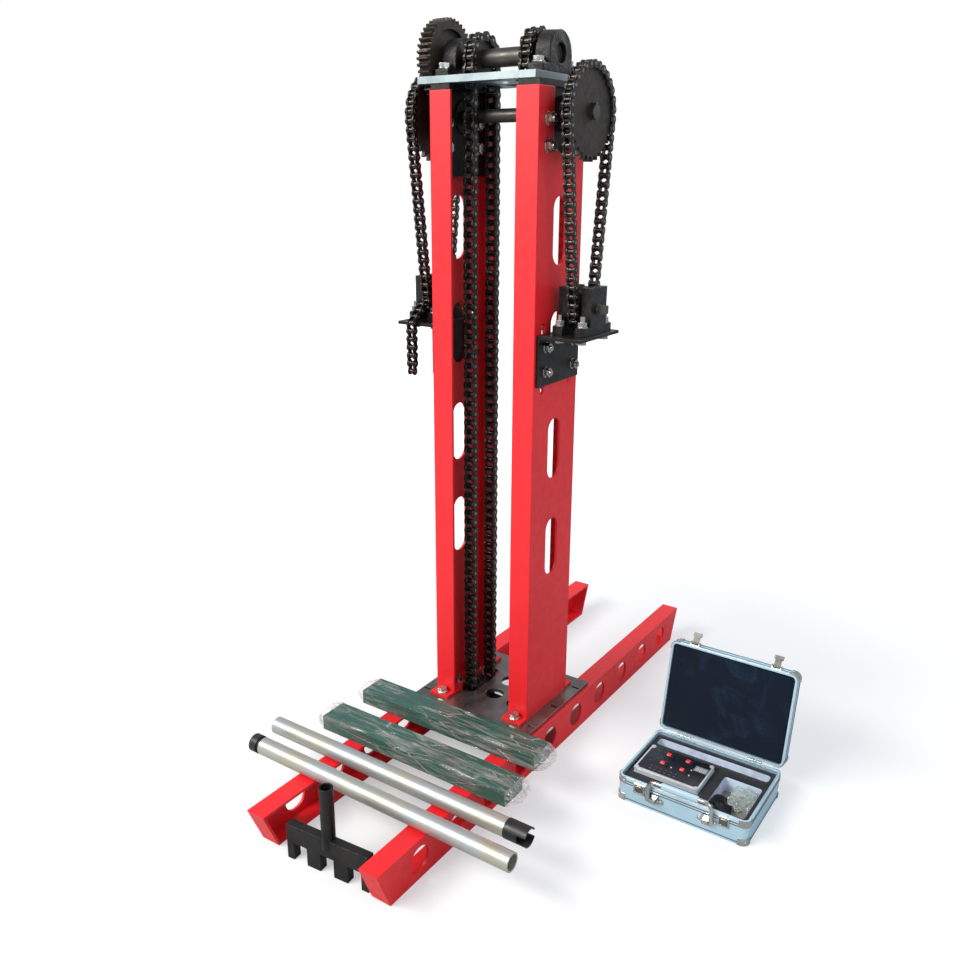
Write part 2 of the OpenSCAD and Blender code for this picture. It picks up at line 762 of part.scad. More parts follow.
// outline points of a chain wheel with a roller seat centred on angle zero
function wheel_points(p, z, roller) =
  let(rr = p/2/sin(180/z), rs = roller/2 + seat_gap, ro = p*(0.6 + 1/tan(180/z))/2,
    st = 360/z, tip = 180/PI*0.09*p/ro)
  [for (i = [0:z - 1]) each concat(
    [for (f = [-60, -30, 0, 30, 60])
      let(u = rr - rs*cos(f), v = rs*sin(f), g = i*st) [u*cos(g) - v*sin(g), u*sin(g) + v*cos(g)]],
    [for (s = [-1, 1]) let(g = (i + 0.5)*st + s*tip) [ro*cos(g), ro*sin(g)]])];

module wheel(p, z, roller, w, hub, hub_len, bore, turn) {
  rotate([90, 0, 90]) difference() {
    union() {
      translate([0, 0, -w/2]) linear_extrude(w) rotate(turn) polygon(wheel_points(p, z, roller));
      translate([0, 0, -w/2 - hub_len]) cylinder(d = hub, h = w + hub_len);
    }
    translate([0, 0, -w/2 - hub_len - 1]) cylinder(d = bore, h = w + hub_len + 2);
  }
}

module drive_shaft() {
  color("gray") rig() {
    bar_x(gear_x0 - 2, block_x1 - 8, drive_d, drive_back, drive_z);
    difference() {
      bar_x(gear_x1 + 0.5, block_left_x - 0.5, drive_d + 18, drive_back, drive_z);
      bar_x(gear_x1, block_left_x, drive_d, drive_back, drive_z);
    }
  }
}

module drive_gear() {
  rim = gear_ra - 19;
  color("dimgray") rig() translate([gear_x0, drive_back, drive_z]) rotate([90, 0, 90]) difference() {
    linear_extrude(gear_w) rotate(90) polygon(gear_points(gear_module, gear_teeth, 0.12));
    for (z = [-1, gear_w - 7]) translate([0, 0, z]) difference() {
      cylinder(r = rim, h = 8);
      translate([0, 0, -1]) cylinder(d = drive_d + 26, h = 10);
    }
    translate([0, 0, -1]) cylinder(d = drive_d, h = gear_w + 2);
  }
}

module main_sprockets() {
  color("dimgray") rig() for (s = [-1, 1]) translate([s*main_x, drive_back, drive_z])
    mirror([s > 0 ? 1 : 0, 0, 0])
      wheel(main_pitch, main_teeth, main_roller, main_gap - 1.2, 2*main_r - 20, 12, drive_d, 0);
}

module counter_shaft() {
  e = side_x + 14;
  color("gray") rig() {
    bar_x(-e, e, counter_d, drive_back, counter_z);
    for (s = [-1, 1]) translate([s > 0 ? e - 9 : -e, drive_back - 3, counter_z + counter_d/2 - 1])
      cube([9, 6, 4]);
  }
}

module pinion() {
  color("dimgray") rig() translate([gear_x0, drive_back, counter_z]) rotate([90, 0, 90]) difference() {
    linear_extrude(gear_w - 1) rotate(90 + 180/pinion_teeth)
      polygon(gear_points(gear_module, pinion_teeth, 0.5));
    translate([0, 0, -1]) cylinder(d = counter_d, h = gear_w + 2);
  }
}

module side_sprockets() {
  color("dimgray") rig() for (s = [-1, 1]) translate([s*side_x, drive_back, counter_z])
    mirror([s > 0 ? 0 : 1, 0, 0])
      wheel(side_pitch, side_teeth, side_roller, side_gap - 0.9, 46, s > 0 ? 20 : 4, counter_d, 90);
}

module crank_shaft(side) {
  x0 = crank_in + 1;
  x1 = crank_out + crank_block_t + 0.5;
  color("gray") rig() mirror([side > 0 ? 0 : 1, 0, 0]) {
    bar_x(x0, x1, crank_d, drive_back, crank_z);
    translate([x1 - eps, drive_back - stub_side/2, crank_z - stub_side/2])
      cube([stub_len, stub_side, stub_side]);
  }
}
module crank_shaft_left() crank_shaft(-1);
module crank_shaft_right() crank_shaft(1);

module crank_sprocket(side) {
  color("dimgray") rig() translate([side*side_x, drive_back, crank_z])
    mirror([side > 0 ? 0 : 1, 0, 0])
      wheel(side_pitch, crank_teeth, side_roller, side_gap - 0.9, 2*crank_r - 24, 5, crank_d, 270);
}
module crank_sprocket_left() crank_sprocket(-1);
module crank_sprocket_right() crank_sprocket(1);

module lower_shaft() {
  color("dimgray") rig() {
    bar_x(-main_x - bearing_step - lower_d - 3, main_x + bearing_step + lower_d + 3, lower_d,
      drive_back, lower_z);
    for (s = [-1, 1]) translate([s*main_x, drive_back, lower_z]) mirror([s > 0 ? 1 : 0, 0, 0])
      wheel(main_pitch, main_teeth, main_roller, main_gap - 1.2, 2*main_r - 20, 12, lower_d, 0);
  }
}

// loose kit on the rails

// a tube with a reamed seat for its plug at the left (-1) or the right (1)
module tube(x0, len, y, seat) {
  color("lightsteelblue") rig() difference() {
    bar_x(x0, x0 + len, tube_d, y, rail_h + tube_d/2);
    bar_x(x0 - 1, x0 + len + 1, tube_d - 2*tube_wall, y, rail_h + tube_d/2);
    bar_x(seat < 0 ? x0 - 1 : x0 + len - plug_l, seat < 0 ? x0 + plug_l : x0 + len + 1, seat_d, y,
      rail_h + tube_d/2);
  }
}
module tube_back() tube(tube_x[0], tube_back_len, tube_y[0], 1);
module tube_front() tube(tube_x[1], tube_front_len, tube_y[1], -1);

module tube_ends() {
  z = rail_h + tube_d/2;
  x1 = tube_x[0] + tube_back_len;
  bore = tube_d - 2*tube_wall;
  color("dimgray") rig() {
    difference() {
      union() {
        bar_x(x1 - plug_l, x1 + 1, seat_d - pin_fit, tube_y[0], z);
        bar_x(x1, x1 + 44, tube_d + 2, tube_y[0], z);
      }
      bar_x(x1 + 8, x1 + 50, bore + 2, tube_y[0], z);
      translate([x1 + 27, tube_y[0] - 30, z - 7]) cube([30, 60, 14]);
    }
    difference() {
      union() {
        bar_x(tube_x[1] - 1, tube_x[1] + plug_l, seat_d - pin_fit, tube_y[1], z);
        bar_x(tube_x[1] - 8, tube_x[1], tube_d - 4, tube_y[1], z);
        bar_x(tube_x[1] - 24, tube_x[1] - 7, tube_d + 1, tube_y[1], z);
      }
      bar_x(tube_x[1] - 30, tube_x[1] - 14, bore - 6, tube_y[1], z);
    }
  }
}

module beam(x0, len, y) {
  z = rail_h + film_t + 0.1;
  color("teal") rig() difference() {
    translate([x0, y - beam_w/2, z]) cube([len, beam_w, beam_h]);
    translate([x0 + beam_wall, y - beam_w/2 + beam_wall, z + beam_wall])
      cube([len - 2*beam_wall, beam_w - 2*beam_wall, beam_h - 2*beam_wall]);
  }
}
beam_x = [-216, -217];
module beam_back() beam(beam_x[0], beam_back_len, beam_y[0]);
module beam_front() beam(beam_x[1], beam_front_len, beam_y[1]);

module film(x0, len, y) {
  g = 0.1;
  e = 9;
  translate([x0 - e, y - beam_w/2 - film_t - g, rail_h]) difference() {
    cube([len + 2*e, beam_w + 2*film_t + 2*g, beam_h + 2*film_t + 2*g]);
    translate([-1, film_t, film_t]) cube([len + 2*e + 2, beam_w + 2*g, beam_h + 2*g]);
  }
}

module beam_films() {
  color("lightcyan") rig() {
    film(beam_x[0], beam_back_len, beam_y[0]);
    film(beam_x[1], beam_front_len, beam_y[1]);
  }
}

module fork_tool() {
  edge = fork_w/12;
  n = 3;
  gap = (fork_w - 6*edge)/3;
  color("dimgray") rig() translate([fork_x, fork_y, 0]) rotate(fork_turn) {
    difference() {
      translate([-fork_w/2, -fork_t/2, 0]) cube([fork_w, fork_t, fork_h]);
      for (i = [0:n - 1]) translate([-fork_w/2 + edge + i*(gap + 2*edge), -fork_t, -1])
        cube([gap, 2*fork_t, fork_tooth + 1]);
      translate([0, 0, fork_h - 20]) cylinder(d = fork_tube_d, h = 21);
    }
    translate([0, 0, fork_h - 20]) difference() {
      cylinder(d = fork_tube_d, h = fork_top - fork_h + 20);
      translate([0, 0, 2]) cylinder(d = fork_tube_d - 5, h = fork_top);
    }
  }
}

// instrument case

module in_case() { rig() translate([case_x, case_front, 0]) children(); }

module case_shell() {
  color("lightsteelblue") in_case() difference() {
    linear_extrude(case_h) round2d(case_w, case_d, case_r);
    translate([case_wall, case_wall, floor_t]) linear_extrude(case_h)
      round2d(case_w - 2*case_wall, case_d - 2*case_wall, case_r - case_wall);
  }
}

module corner_cap(h) {
  linear_extrude(h) difference() {
    intersection() {
      translate([-1.5, -1.5]) round2d(60, 60, case_r + 1.5);
      translate([-2, -2]) square(19);
    }
    round2d(80, 80, case_r);
  }
}

module case_fittings() {
  color("silver") in_case() {
    for (x = [0, 1]) for (y = [0, 1])
      translate([x*case_w, y*case_d, 0]) mirror([x, 0, 0]) mirror([0, y, 0])
        for (z = [0, case_h - 14]) translate([0, 0, z]) corner_cap(14);
    for (x = [latch_x - 11, case_w - latch_x - 11]) translate([x, -2, case_h - 26])
      cube([22, 2, 20]);
    for (x = [mount_x, case_w - mount_x]) translate([x, 0, handle_z]) {
      translate([-10, -2, -9]) cube([20, 2, 18]);
      difference() {
        translate([-6, pivot_y - 4, -4]) cube([12, -pivot_y + 3, 8]);
        translate([-7, pivot_y, 0]) rotate([0, 90, 0]) cylinder(d = 4 + 2*shaft_fit, h = 14);
      }
    }
    translate([30, case_d, case_h - 8]) cube([case_w - 60, 1.2, 5.7]);
    for (x = [40, case_w - 70]) translate([x, case_d + hinge_out, case_h + lid_gap/2]) rotate([0, 90, 0]) {
      difference() {
        cylinder(d = 5, h = 14);
        translate([0, 0, -1]) cylinder(d = 1.9, h = 16);
      }
      translate([0, 0, -1]) cylinder(d = 2, h = 31);
    }
    for (x = [40, case_w - 70]) translate([x, case_d, case_h - 5]) cube([14, 2, 4]);
  }
}

module case_foam() {
  c = case_wall + rest_gap;
  color("darkslategray") in_case() difference() {
    translate([c, c, floor_t]) linear_extrude(foam_z - floor_t)
      round2d(case_w - 2*c, case_d - 2*c, case_r - case_wall);
    translate([meter_x - rest_gap, meter_y - rest_gap, foam_z - meter_h]) linear_extrude(60)
      square([meter_w + 2*rest_gap, meter_d + 2*rest_gap]);
    translate([recess_x, recess_y, foam_z - recess_h]) linear_extrude(60)
      round2d(recess_w, recess_d, recess_r);
    translate([pocket_x, pocket_y, foam_z - recess_h]) linear_extrude(60)
      round2d(pocket_w, pocket_d, recess_r);
  }
}

module meter_box() {
  top = meter_h + meter_rise;
  color("lightgray") in_case() translate([meter_x, meter_y, foam_z - meter_h]) difference() {
    union() {
      linear_extrude(top - 0.6) round2d(meter_w, meter_d, 5);
      for (x = [6, meter_w - 6]) for (y = [6, meter_d - 6]) translate([x, y, 0]) cylinder(r = 6, h = top);
    }
    translate([7, 7, top - 2]) linear_extrude(5) difference() {
      square([meter_w - 14, meter_d - 14]);
      for (x = [-1, meter_w - 13]) for (y = [-1, meter_d - 13]) translate([x, y]) circle(r = 6);
    }
    for (q = button_pts) translate([q[0] - button_w/2 - 0.3, q[1] - button_w/2 - 0.3, top - 8])
      cube([button_w + 0.6, button_w + 0.6, 20]);
  }
}

module button(i) {
  q = button_pts[i];
  color("red") in_case() translate([meter_x + q[0] - button_w/2, meter_y + q[1] - button_w/2,
    foam_z + meter_rise - 8 + button_travel + 0.3]) cube([button_w, button_w, button_h + 3]);
}
module button_a() button(0);
module button_b() button(1);
module button_c() button(2);
module button_d() button(3);

// route of the lead's middle line, spiralling in, climbing half a turn and out again
lead_n = 24;
lead_in = lead_turns*lead_n;
lead_all = 2*lead_in + lead_n/2;
function lead_at(i) = let(a = i*360/lead_n,
    r = i < lead_in ? lead_r - lead_step*i/lead_n :
      i < lead_in + lead_n/2 ? lead_r - lead_step*lead_turns :
      lead_r - lead_step*(lead_all - i)/lead_n,
    up = min(1, max(0, (i - lead_in)/(lead_n/2))))
  [r*cos(a), r*sin(a), lead_d/2 + lead_step*up];
lead_path = concat([for (y = [-lead_tail, -lead_tail/2]) [lead_r, y, lead_d/2]],
  [for (i = [0:lead_all]) lead_at(i)],
  [for (y = [-lead_tail/2, -lead_tail]) [-lead_r, y, lead_d/2 + lead_step]]);
lead_gap = min([for (i = [0:len(lead_path) - 1]) for (j = [i + 6:1:len(lead_path) - 1])
  norm(lead_path[i] - lead_path[j])]) - lead_d;
echo(lead_gap = lead_gap);

// a round tube of straight facets along a list of points
module tube_along(path, r, sides) {
  n = len(path);
  rings = [for (i = [0:n - 1])
    let(t = path[min(n - 1, i + 1)] - path[max(0, i - 1)], s = cross(t, [0, 0, 1]),
      side = s/norm(s), u = cross(side, t/norm(t)))
    for (j = [0:sides - 1]) path[i] + r*(cos(j*360/sides)*side + sin(j*360/sides)*u)];
  polyhedron(points = rings, faces = concat(
    [[for (j = [0:sides - 1]) sides - 1 - j]],
    [[for (j = [0:sides - 1]) (n - 1)*sides + j]],
    [for (i = [0:n - 2]) for (j = [0:sides - 1]) let(k = (j + 1) % sides)
      each [[i*sides + j, i*sides + k, (i + 1)*sides + j],
        [i*sides + k, (i + 1)*sides + k, (i + 1)*sides + j]]]));
}

module in_lead() {
  lift = lead_r*sin(lead_lean) + plug_d/2*(1 - cos(lead_lean));
  in_case() translate([lead_x, lead_y, foam_z - recess_h + rest_gap + lift])
    rotate([0, lead_lean, 0]) children();
}

module lead() {
  color("black") in_lead() tube_along(lead_path, lead_d/2, 6);
}

module lead_plugs() {
  color("black") in_lead() for (q = [[lead_r, lead_d/2], [-lead_r, lead_d/2 + lead_step]])
    translate([q[0], -lead_tail, max(q[1], plug_d/2 + 0.1)]) rotate([90, 0, 0]) {
      cylinder(d = plug_d, h = 12);
      cylinder(d = 2, h = 17);
    }
}

module parts_bag() {
  color("white") in_case() translate([pocket_x + pocket_w - 26, pocket_y + pocket_d - 26,
    foam_z - recess_h + rest_gap]) intersection() {
    translate([0, 0, 10]) sphere(r = 27);
    translate([-22, -23, 0]) cube([46, 46, 20]);
  }
}

// lid, drawn closed over the case and turned open about its hinge

module lid_pose() {
  in_case() translate([0, case_d + hinge_out, case_h + lid_gap/2]) rotate([-lid_open, 0, 0])
    translate([0, -case_d - hinge_out, lid_gap/2]) children();
}

module lid_shell() {
  color("lightsteelblue") lid_pose() difference() {
    linear_extrude(lid_h) round2d(case_w, case_d, case_r);
    translate([case_wall, case_wall, -1]) linear_extrude(lid_h - floor_t + 1)
      round2d(case_w - 2*case_wall, case_d - 2*case_wall, case_r - case_wall);
  }
}

module lid_fittings() {
  color("silver") lid_pose() {
    for (x = [0, 1]) for (y = [0, 1])
      translate([x*case_w, y*case_d, 0]) mirror([x, 0, 0]) mirror([0, y, 0])
        for (z = [0, lid_h - 12]) translate([0, 0, z]) corner_cap(12);
    for (x = [55, case_w - 55.5]) translate([x, case_d + hinge_out, -lid_gap/2]) rotate([0, 90, 0])
      difference() {
        cylinder(d = 5, h = 14);
        translate([0, 0, -1]) cylinder(d = 2 + 2*shaft_fit, h = 16);
      }
    for (x = [55, case_w - 55.5]) translate([x, case_d, 1]) cube([14, 2, 4]);
    for (x = [latch_x, case_w - latch_x]) translate([x, 0, 12]) {
      translate([-10, -2, -6]) cube([20, 2, 14]);
      for (s = [-10, 7]) translate([s, -6, -3]) difference() {
        cube([3, 4.5, 6]);
        translate([-1, 2, 3]) rotate([0, 90, 0]) cylinder(d = 2 + 2*shaft_fit, h = 5);
      }
    }
  }
}

module lid_lining() {
  c = case_wall + rest_gap;
  color("midnightblue") lid_pose() translate([c, c, 4.5]) linear_extrude(lid_h - floor_t - 4.5)
    round2d(case_w - 2*c, case_d - 2*c, case_r - case_wall);
}

module latch(x) {
  color("silver") lid_pose() translate([x, -4, 12]) rotate([-tongue_rest, 0, 0]) {
    translate([-10.5, 0, 0]) rotate([0, 90, 0]) cylinder(d = 2, h = 21);
    translate([-6.5, 0, 0]) rotate([0, 90, 0]) cylinder(d = 3.4, h = 13);
    translate([-6.5, -tongue, -0.9]) cube([13, tongue, 1.8]);
    translate([-9, -tongue, -0.9]) cube([18, 8, 1.8]);
  }
}
module latch_left() latch(latch_x);
module latch_right() latch(case_w - latch_x);

module case_handle() {
  l = case_w - 2*mount_x + 2*arm_x;
  color("silver") in_case() translate([mount_x - arm_x, pivot_y, handle_z]) rotate([-1, 0, 0]) {
    for (x = [0, l]) translate([x, 0, -3]) cylinder(d = arm_d, h = grip_h + 3);
    for (x = [-1, l - 15]) translate([x, 0, 0]) rotate([0, 90, 0]) cylinder(d = 4, h = 16);
    translate([-2.5, 0, grip_h]) rotate([0, 90, 0]) cylinder(d = arm_d - 1, h = l + 5);
    translate([8, 0, grip_h]) rotate([0, 90, 0]) cylinder(d = grip_d, h = l - 16);
  }
}

rail_left();
rail_right();
base_plate();
foot_plates();
column_left();
column_right();
column_caps();
top_plate();
bearing_plates();
hex_bolts();
top_blocks();
bracket_left();
bracket_right();
bracket_bolts();
crank_blocks();
block_studs();
lower_bearings();
main_chain_left();
main_chain_right();
main_chain_ends();
side_chain_left();
side_chain_right();
side_chain_ends();
chain_tail();
drive_shaft();
drive_gear();
main_sprockets();
counter_shaft();
pinion();
side_sprockets();
crank_shaft_left();
crank_sprocket_left();
crank_shaft_right();
crank_sprocket_right();
lower_shaft();
tube_back();
tube_front();
tube_ends();
beam_back();
beam_front();
beam_films();
fork_tool();
case_shell();
case_fittings();
case_foam();
meter_box();
button_a();
button_b();
button_c();
button_d();
lead();
lead_plugs();
parts_bag();
lid_shell();
lid_fittings();
lid_lining();
latch_left();
latch_right();
case_handle();
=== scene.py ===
import json
from math import acos, asin, atan2, cos, pi, radians, sin, sqrt

import bmesh
import bpy
from mathutils import Matrix, Vector, noise


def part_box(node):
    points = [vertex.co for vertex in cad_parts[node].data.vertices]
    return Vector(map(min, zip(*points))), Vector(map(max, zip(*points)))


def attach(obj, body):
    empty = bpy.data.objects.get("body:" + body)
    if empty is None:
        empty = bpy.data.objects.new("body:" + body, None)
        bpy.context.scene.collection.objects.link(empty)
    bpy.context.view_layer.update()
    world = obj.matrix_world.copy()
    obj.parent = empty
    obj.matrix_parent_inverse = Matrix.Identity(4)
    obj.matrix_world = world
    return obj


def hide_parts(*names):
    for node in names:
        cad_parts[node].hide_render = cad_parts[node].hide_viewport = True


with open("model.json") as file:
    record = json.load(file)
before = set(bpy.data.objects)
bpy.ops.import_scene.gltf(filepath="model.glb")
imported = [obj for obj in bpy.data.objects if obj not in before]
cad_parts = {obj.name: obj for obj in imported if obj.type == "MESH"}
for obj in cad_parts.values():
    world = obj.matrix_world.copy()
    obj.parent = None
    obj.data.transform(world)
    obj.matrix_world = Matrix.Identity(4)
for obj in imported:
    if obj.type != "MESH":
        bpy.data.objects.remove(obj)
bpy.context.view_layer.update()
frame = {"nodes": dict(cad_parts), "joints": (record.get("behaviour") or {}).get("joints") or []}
mm = 0.001

cameraView = {
    "place": (0.9783, -1.4846, 1.0711), "yaw": 34.4179, "pitch": -18.0493, "roll": 0.127,
    "lens": 35.12, "sensor": 36.0, "clip": (0.05, 60),
}
studio = {
    "floorSize": 14.0, "floorZ": -0.0782, "floorColour": (0.5, 0.5, 0.5),
    "floorGlow": (0.38, 1.0), "glowReach": (0.9, 3.0),
    "worldColour": (0.84, 0.9, 1.0, 1), "worldStrength": 0.6,
    "aim": (0.05, 0.0, 0.5),
    "lamps": {
        "key": ((-1.7, -3.1, 3.0), 225, (3.0, 1.1), (1.0, 0.97, 0.93)),
        "fill": ((3.2, -1.6, 2.2), 46, (2.5, 1.2), (0.8, 0.9, 1.0)),
        "back": ((0.6, 3.2, 3.0), 46, (2.5, 2.5), (1.0, 1.0, 1.0)),
    },
}


def linkObject(name, data):
    made = bpy.data.objects.new(name, data)
    bpy.context.scene.collection.objects.link(made)
    return made


def meshFrom(bm, name):
    mesh = bpy.data.meshes.new(name)
    bm.to_mesh(mesh)
    bm.free()
    return mesh


def addCamera():
    data = bpy.data.cameras.new("camera")
    camera = linkObject("camera", data)
    data.sensor_width, data.lens = cameraView["sensor"], cameraView["lens"]
    data.clip_start, data.clip_end = cameraView["clip"]
    yaw, pitch = radians(cameraView["yaw"]), radians(cameraView["pitch"])
    forward = Vector((-sin(yaw)*cos(pitch), cos(yaw)*cos(pitch), sin(pitch)))
    turn = forward.to_track_quat("-Z", "Y").to_matrix()
    roll = Matrix.Rotation(radians(cameraView["roll"]), 3, "Z")
    camera.matrix_world = Matrix.Translation(cameraView["place"]) @ (turn @ roll).to_4x4()
    bpy.context.scene.camera = camera


def addLamp(name, place, power, size, colour):
    data = bpy.data.lights.new(name, "AREA")
    data.energy, data.color, data.shape = power, colour, "RECTANGLE"
    data.size, data.size_y = size
    lamp = linkObject(name, data)
    aim = Vector(studio["aim"]) - Vector(place)
    lamp.matrix_world = Matrix.Translation(place) @ aim.to_track_quat("-Z", "Y").to_matrix().to_4x4()


def addWorld():
    world = bpy.data.worlds.new("studio")
    bpy.context.scene.world = world
    world.use_nodes = True
    tree = world.node_tree
    tree.nodes.clear()
    lit, shown = (tree.nodes.new("ShaderNodeBackground") for _ in range(2))
    lit.inputs["Color"].default_value = studio["worldColour"]
    lit.inputs["Strength"].default_value = studio["worldStrength"]
    shown.inputs["Color"].default_value = (1, 1, 1, 1)
    blend = tree.nodes.new("ShaderNodeMixShader")
    tree.links.new(tree.nodes.new("ShaderNodeLightPath").outputs["Is Camera Ray"], blend.inputs[0])
    tree.links.new(lit.outputs[0], blend.inputs[1])
    tree.links.new(shown.outputs[0], blend.inputs[2])
    tree.links.new(blend.outputs[0], tree.nodes.new("ShaderNodeOutputWorld").inputs[0])


# materials, all on object coordinates in metres

def tone(red, green, blue):
    # a colour as it looks on a screen, 0 to 255, made linear
    return tuple(((c/255 + 0.055)/1.055)**2.4 if c > 10 else c/255/12.92 for c in (red, green, blue))


def newMaterial(name, colour, sockets):
    mat = bpy.data.materials.new(name)
    mat.use_nodes = True
    shader = mat.node_tree.nodes["Principled BSDF"]
    shader.inputs["Base Color"].default_value = (*colour, 1)
    for socket, value in sockets.items():
        shader.inputs[socket].default_value = value
    return mat


def addNode(mat, kind, settings=None, wires=None):
    node = mat.node_tree.nodes.new("ShaderNode" + kind)
    for key, value in (settings or {}).items():
        if key in node.inputs:
            node.inputs[key].default_value = value
        else:
            setattr(node, key, value)
    for key, socket in (wires or {}).items():
        mat.node_tree.links.new(socket, node.inputs[key])
    return node


def objectPlace(mat, stretch=(1, 1, 1), turn=(0, 0, 0)):
    coords = addNode(mat, "TexCoord").outputs["Object"]
    return addNode(mat, "Mapping", {"Scale": stretch, "Rotation": turn}, {"Vector": coords}).outputs[0]


def grain(mat, scale, detail=4.0, stretch=(1, 1, 1), distortion=0.0):
    return addNode(mat, "TexNoise", {"Scale": scale, "Detail": detail, "Distortion": distortion},
                   {"Vector": objectPlace(mat, stretch)}).outputs["Fac"]


def spread(mat, value, low, high, start=0.0, end=1.0):
    return addNode(mat, "MapRange", {"From Min": low, "From Max": high, "To Min": start, "To Max": end},
                   {"Value": value}).outputs[0]


def feed(mat, node, index, value):
    # a socket is linked, anything else is set
    if isinstance(value, bpy.types.NodeSocket):
        mat.node_tree.links.new(value, node.inputs[index])
    else:
        node.inputs[index].default_value = value


def mixColours(mat, share, first, second):
    mix = addNode(mat, "Mix", {"data_type": "RGBA"})
    feed(mat, mix, 0, share)
    for index, value in ((6, first), (7, second)):
        feed(mat, mix, index, value if isinstance(value, bpy.types.NodeSocket) else (*value, 1))
    return mix.outputs[2]


def combine(mat, how, first, second):
    node = addNode(mat, "Math", {"operation": how})
    feed(mat, node, 0, first)
    feed(mat, node, 1, second)
    return node.outputs[0]


def roundedEdges(mat, radius):
    return addNode(mat, "Bevel", {"samples": 4, "Radius": radius}).outputs[0]


def edgeWearAndHighlight(mat, rounded, reach=0.25):
    # 1 on the edges, where wear goes and on dark steel a painted highlight too, 0 on flat faces
    straight = addNode(mat, "NewGeometry").outputs["Normal"]
    dot = addNode(mat, "VectorMath", {"operation": "DOT_PRODUCT"})
    feed(mat, dot, 0, rounded)
    feed(mat, dot, 1, straight)
    return spread(mat, dot.outputs["Value"], 1.0, 1.0 - reach)


def addBump(mat, height, strength, depth, normal=None):
    return addNode(mat, "Bump", {"Strength": strength, "Distance": depth},
                   {"Height": height, **({"Normal": normal} if normal else {})}).outputs[0]


def wire(mat, **sockets):
    shader = mat.node_tree.nodes["Principled BSDF"]
    for name, socket in sockets.items():
        mat.node_tree.links.new(socket, shader.inputs[name.replace("_", " ")])
    return mat


def paintedSteel(name, colour, shade, chip, gloss, corner=0.0012, chipReach=0.0012):
    # sprayed paint with a fine orange peel, thin at the edges
    mat = newMaterial(name, colour, {"Roughness": gloss})
    rounded = roundedEdges(mat, corner)
    patches = spread(mat, grain(mat, scale=5.0, detail=3.0), 0.35, 0.7)
    edges = edgeWearAndHighlight(mat, roundedEdges(mat, chipReach), 0.3)
    worn = combine(mat, "MULTIPLY", edges, spread(mat, grain(mat, scale=130.0), 0.56, 0.66))
    base = mixColours(mat, worn, mixColours(mat, patches, colour, shade), chip)
    rough = spread(mat, grain(mat, scale=60.0, detail=5.0), 0.3, 0.7, gloss - 0.06, gloss + 0.1)
    peel = addBump(mat, grain(mat, scale=420.0, detail=2.0), 0.12, 0.0004, rounded)
    return wire(mat, Base_Color=base, Roughness=rough, Normal=peel)


def darkSteel(name, colour, light, rough, scale, metal, bump, edge=(0.22, 0.2, 0.19)):
    # blackened or oiled steel, mottled, with lighter edges, partly worn bright and partly a painted highlight
    mat = newMaterial(name, colour, {"Metallic": metal, "Roughness": rough})
    rounded = roundedEdges(mat, 0.0009)
    mottled = spread(mat, grain(mat, scale=scale, detail=6.0, distortion=0.6), 0.35, 0.68)
    # the edges that take the edge colour: wear, and a painted highlight
    rubbedAndHighlit = combine(mat, "MULTIPLY", edgeWearAndHighlight(mat, rounded, 0.35),
                     spread(mat, grain(mat, scale=160.0, detail=3.0), 0.4, 0.75))
    base = mixColours(mat, rubbedAndHighlit, mixColours(mat, mottled, colour, light), edge)
    roughness = spread(mat, grain(mat, scale=scale*4, detail=5.0), 0.3, 0.7, rough - 0.1, rough + 0.14)
    pits = addBump(mat, grain(mat, scale=scale*18, detail=3.0), bump, 0.0006, rounded)
    return wire(mat, Base_Color=base, Roughness=roughness, Normal=pits)


def brightMetal(name, colour, tint, rough, scale, stretch=(1, 1, 1), bump=0.06, patch=9.0, metal=1.0):
    # bright metal with a drawn grain and a faint coloured cast
    mat = newMaterial(name, colour, {"Metallic": metal, "Roughness": rough})
    rounded = roundedEdges(mat, 0.0006)
    cloud = spread(mat, grain(mat, scale=patch, detail=5.0, distortion=1.2), 0.35, 0.7)
    lines = grain(mat, scale=scale, stretch=stretch)
    roughness = spread(mat, lines, 0.3, 0.7, rough - 0.08, rough + 0.12)
    return wire(mat, Base_Color=mixColours(mat, cloud, colour, tint), Roughness=roughness,
                Normal=addBump(mat, lines, bump, 0.0004, rounded))


def mouldedPlastic(name, colour, rough, scale=500.0, bump=0.2, coat=0.0):
    mat = newMaterial(name, colour, {"Roughness": rough, "Coat Weight": coat})
    skin = addBump(mat, grain(mat, scale=scale, detail=3.0), bump, 0.0003, roundedEdges(mat, 0.0006))
    worn = spread(mat, grain(mat, scale=40.0), 0.3, 0.7, rough - 0.06, rough + 0.1)
    return wire(mat, Roughness=worn, Normal=skin)


def foamSkin(name, colour, light, scale):
    # closed-cell foam, fine pores and dusty patches
    mat = newMaterial(name, colour, {"Roughness": 0.92, "Sheen Weight": 0.15, "Specular IOR Level": 0.25})
    pores = grain(mat, scale=scale, detail=6.0)
    base = mixColours(mat, spread(mat, grain(mat, scale=45.0, detail=5.0), 0.4, 0.75), colour, light)
    return wire(mat, Base_Color=base, Normal=addBump(mat, pores, 0.5, 0.0006, roundedEdges(mat, 0.0012)))


def pileCloth(name, colour, light, streak):
    # short dark pile in a few soft brushed streaks, whose sheen is painted as a lighter colour
    mat = newMaterial(name, colour, {"Roughness": 0.95, "Sheen Weight": 0.12, "Sheen Roughness": 0.5,
                                     "Specular IOR Level": 0.12})
    fibres = grain(mat, scale=900.0, detail=3.0)
    brushed = spread(mat, grain(mat, scale=13.0, detail=7.0, distortion=1.4), 0.5, 0.75)
    fine = spread(mat, grain(mat, scale=420.0, detail=5.0), 0.42, 0.75)
    lit = combine(mat, "MULTIPLY", brushed, fine)
    # the lighter colours along the brushed streaks are painted sheen
    base = mixColours(mat, lit, mixColours(mat, brushed, colour, light), streak)
    return wire(mat, Base_Color=base, Normal=addBump(mat, fibres, 0.7, 0.0008, roundedEdges(mat, 0.002)))


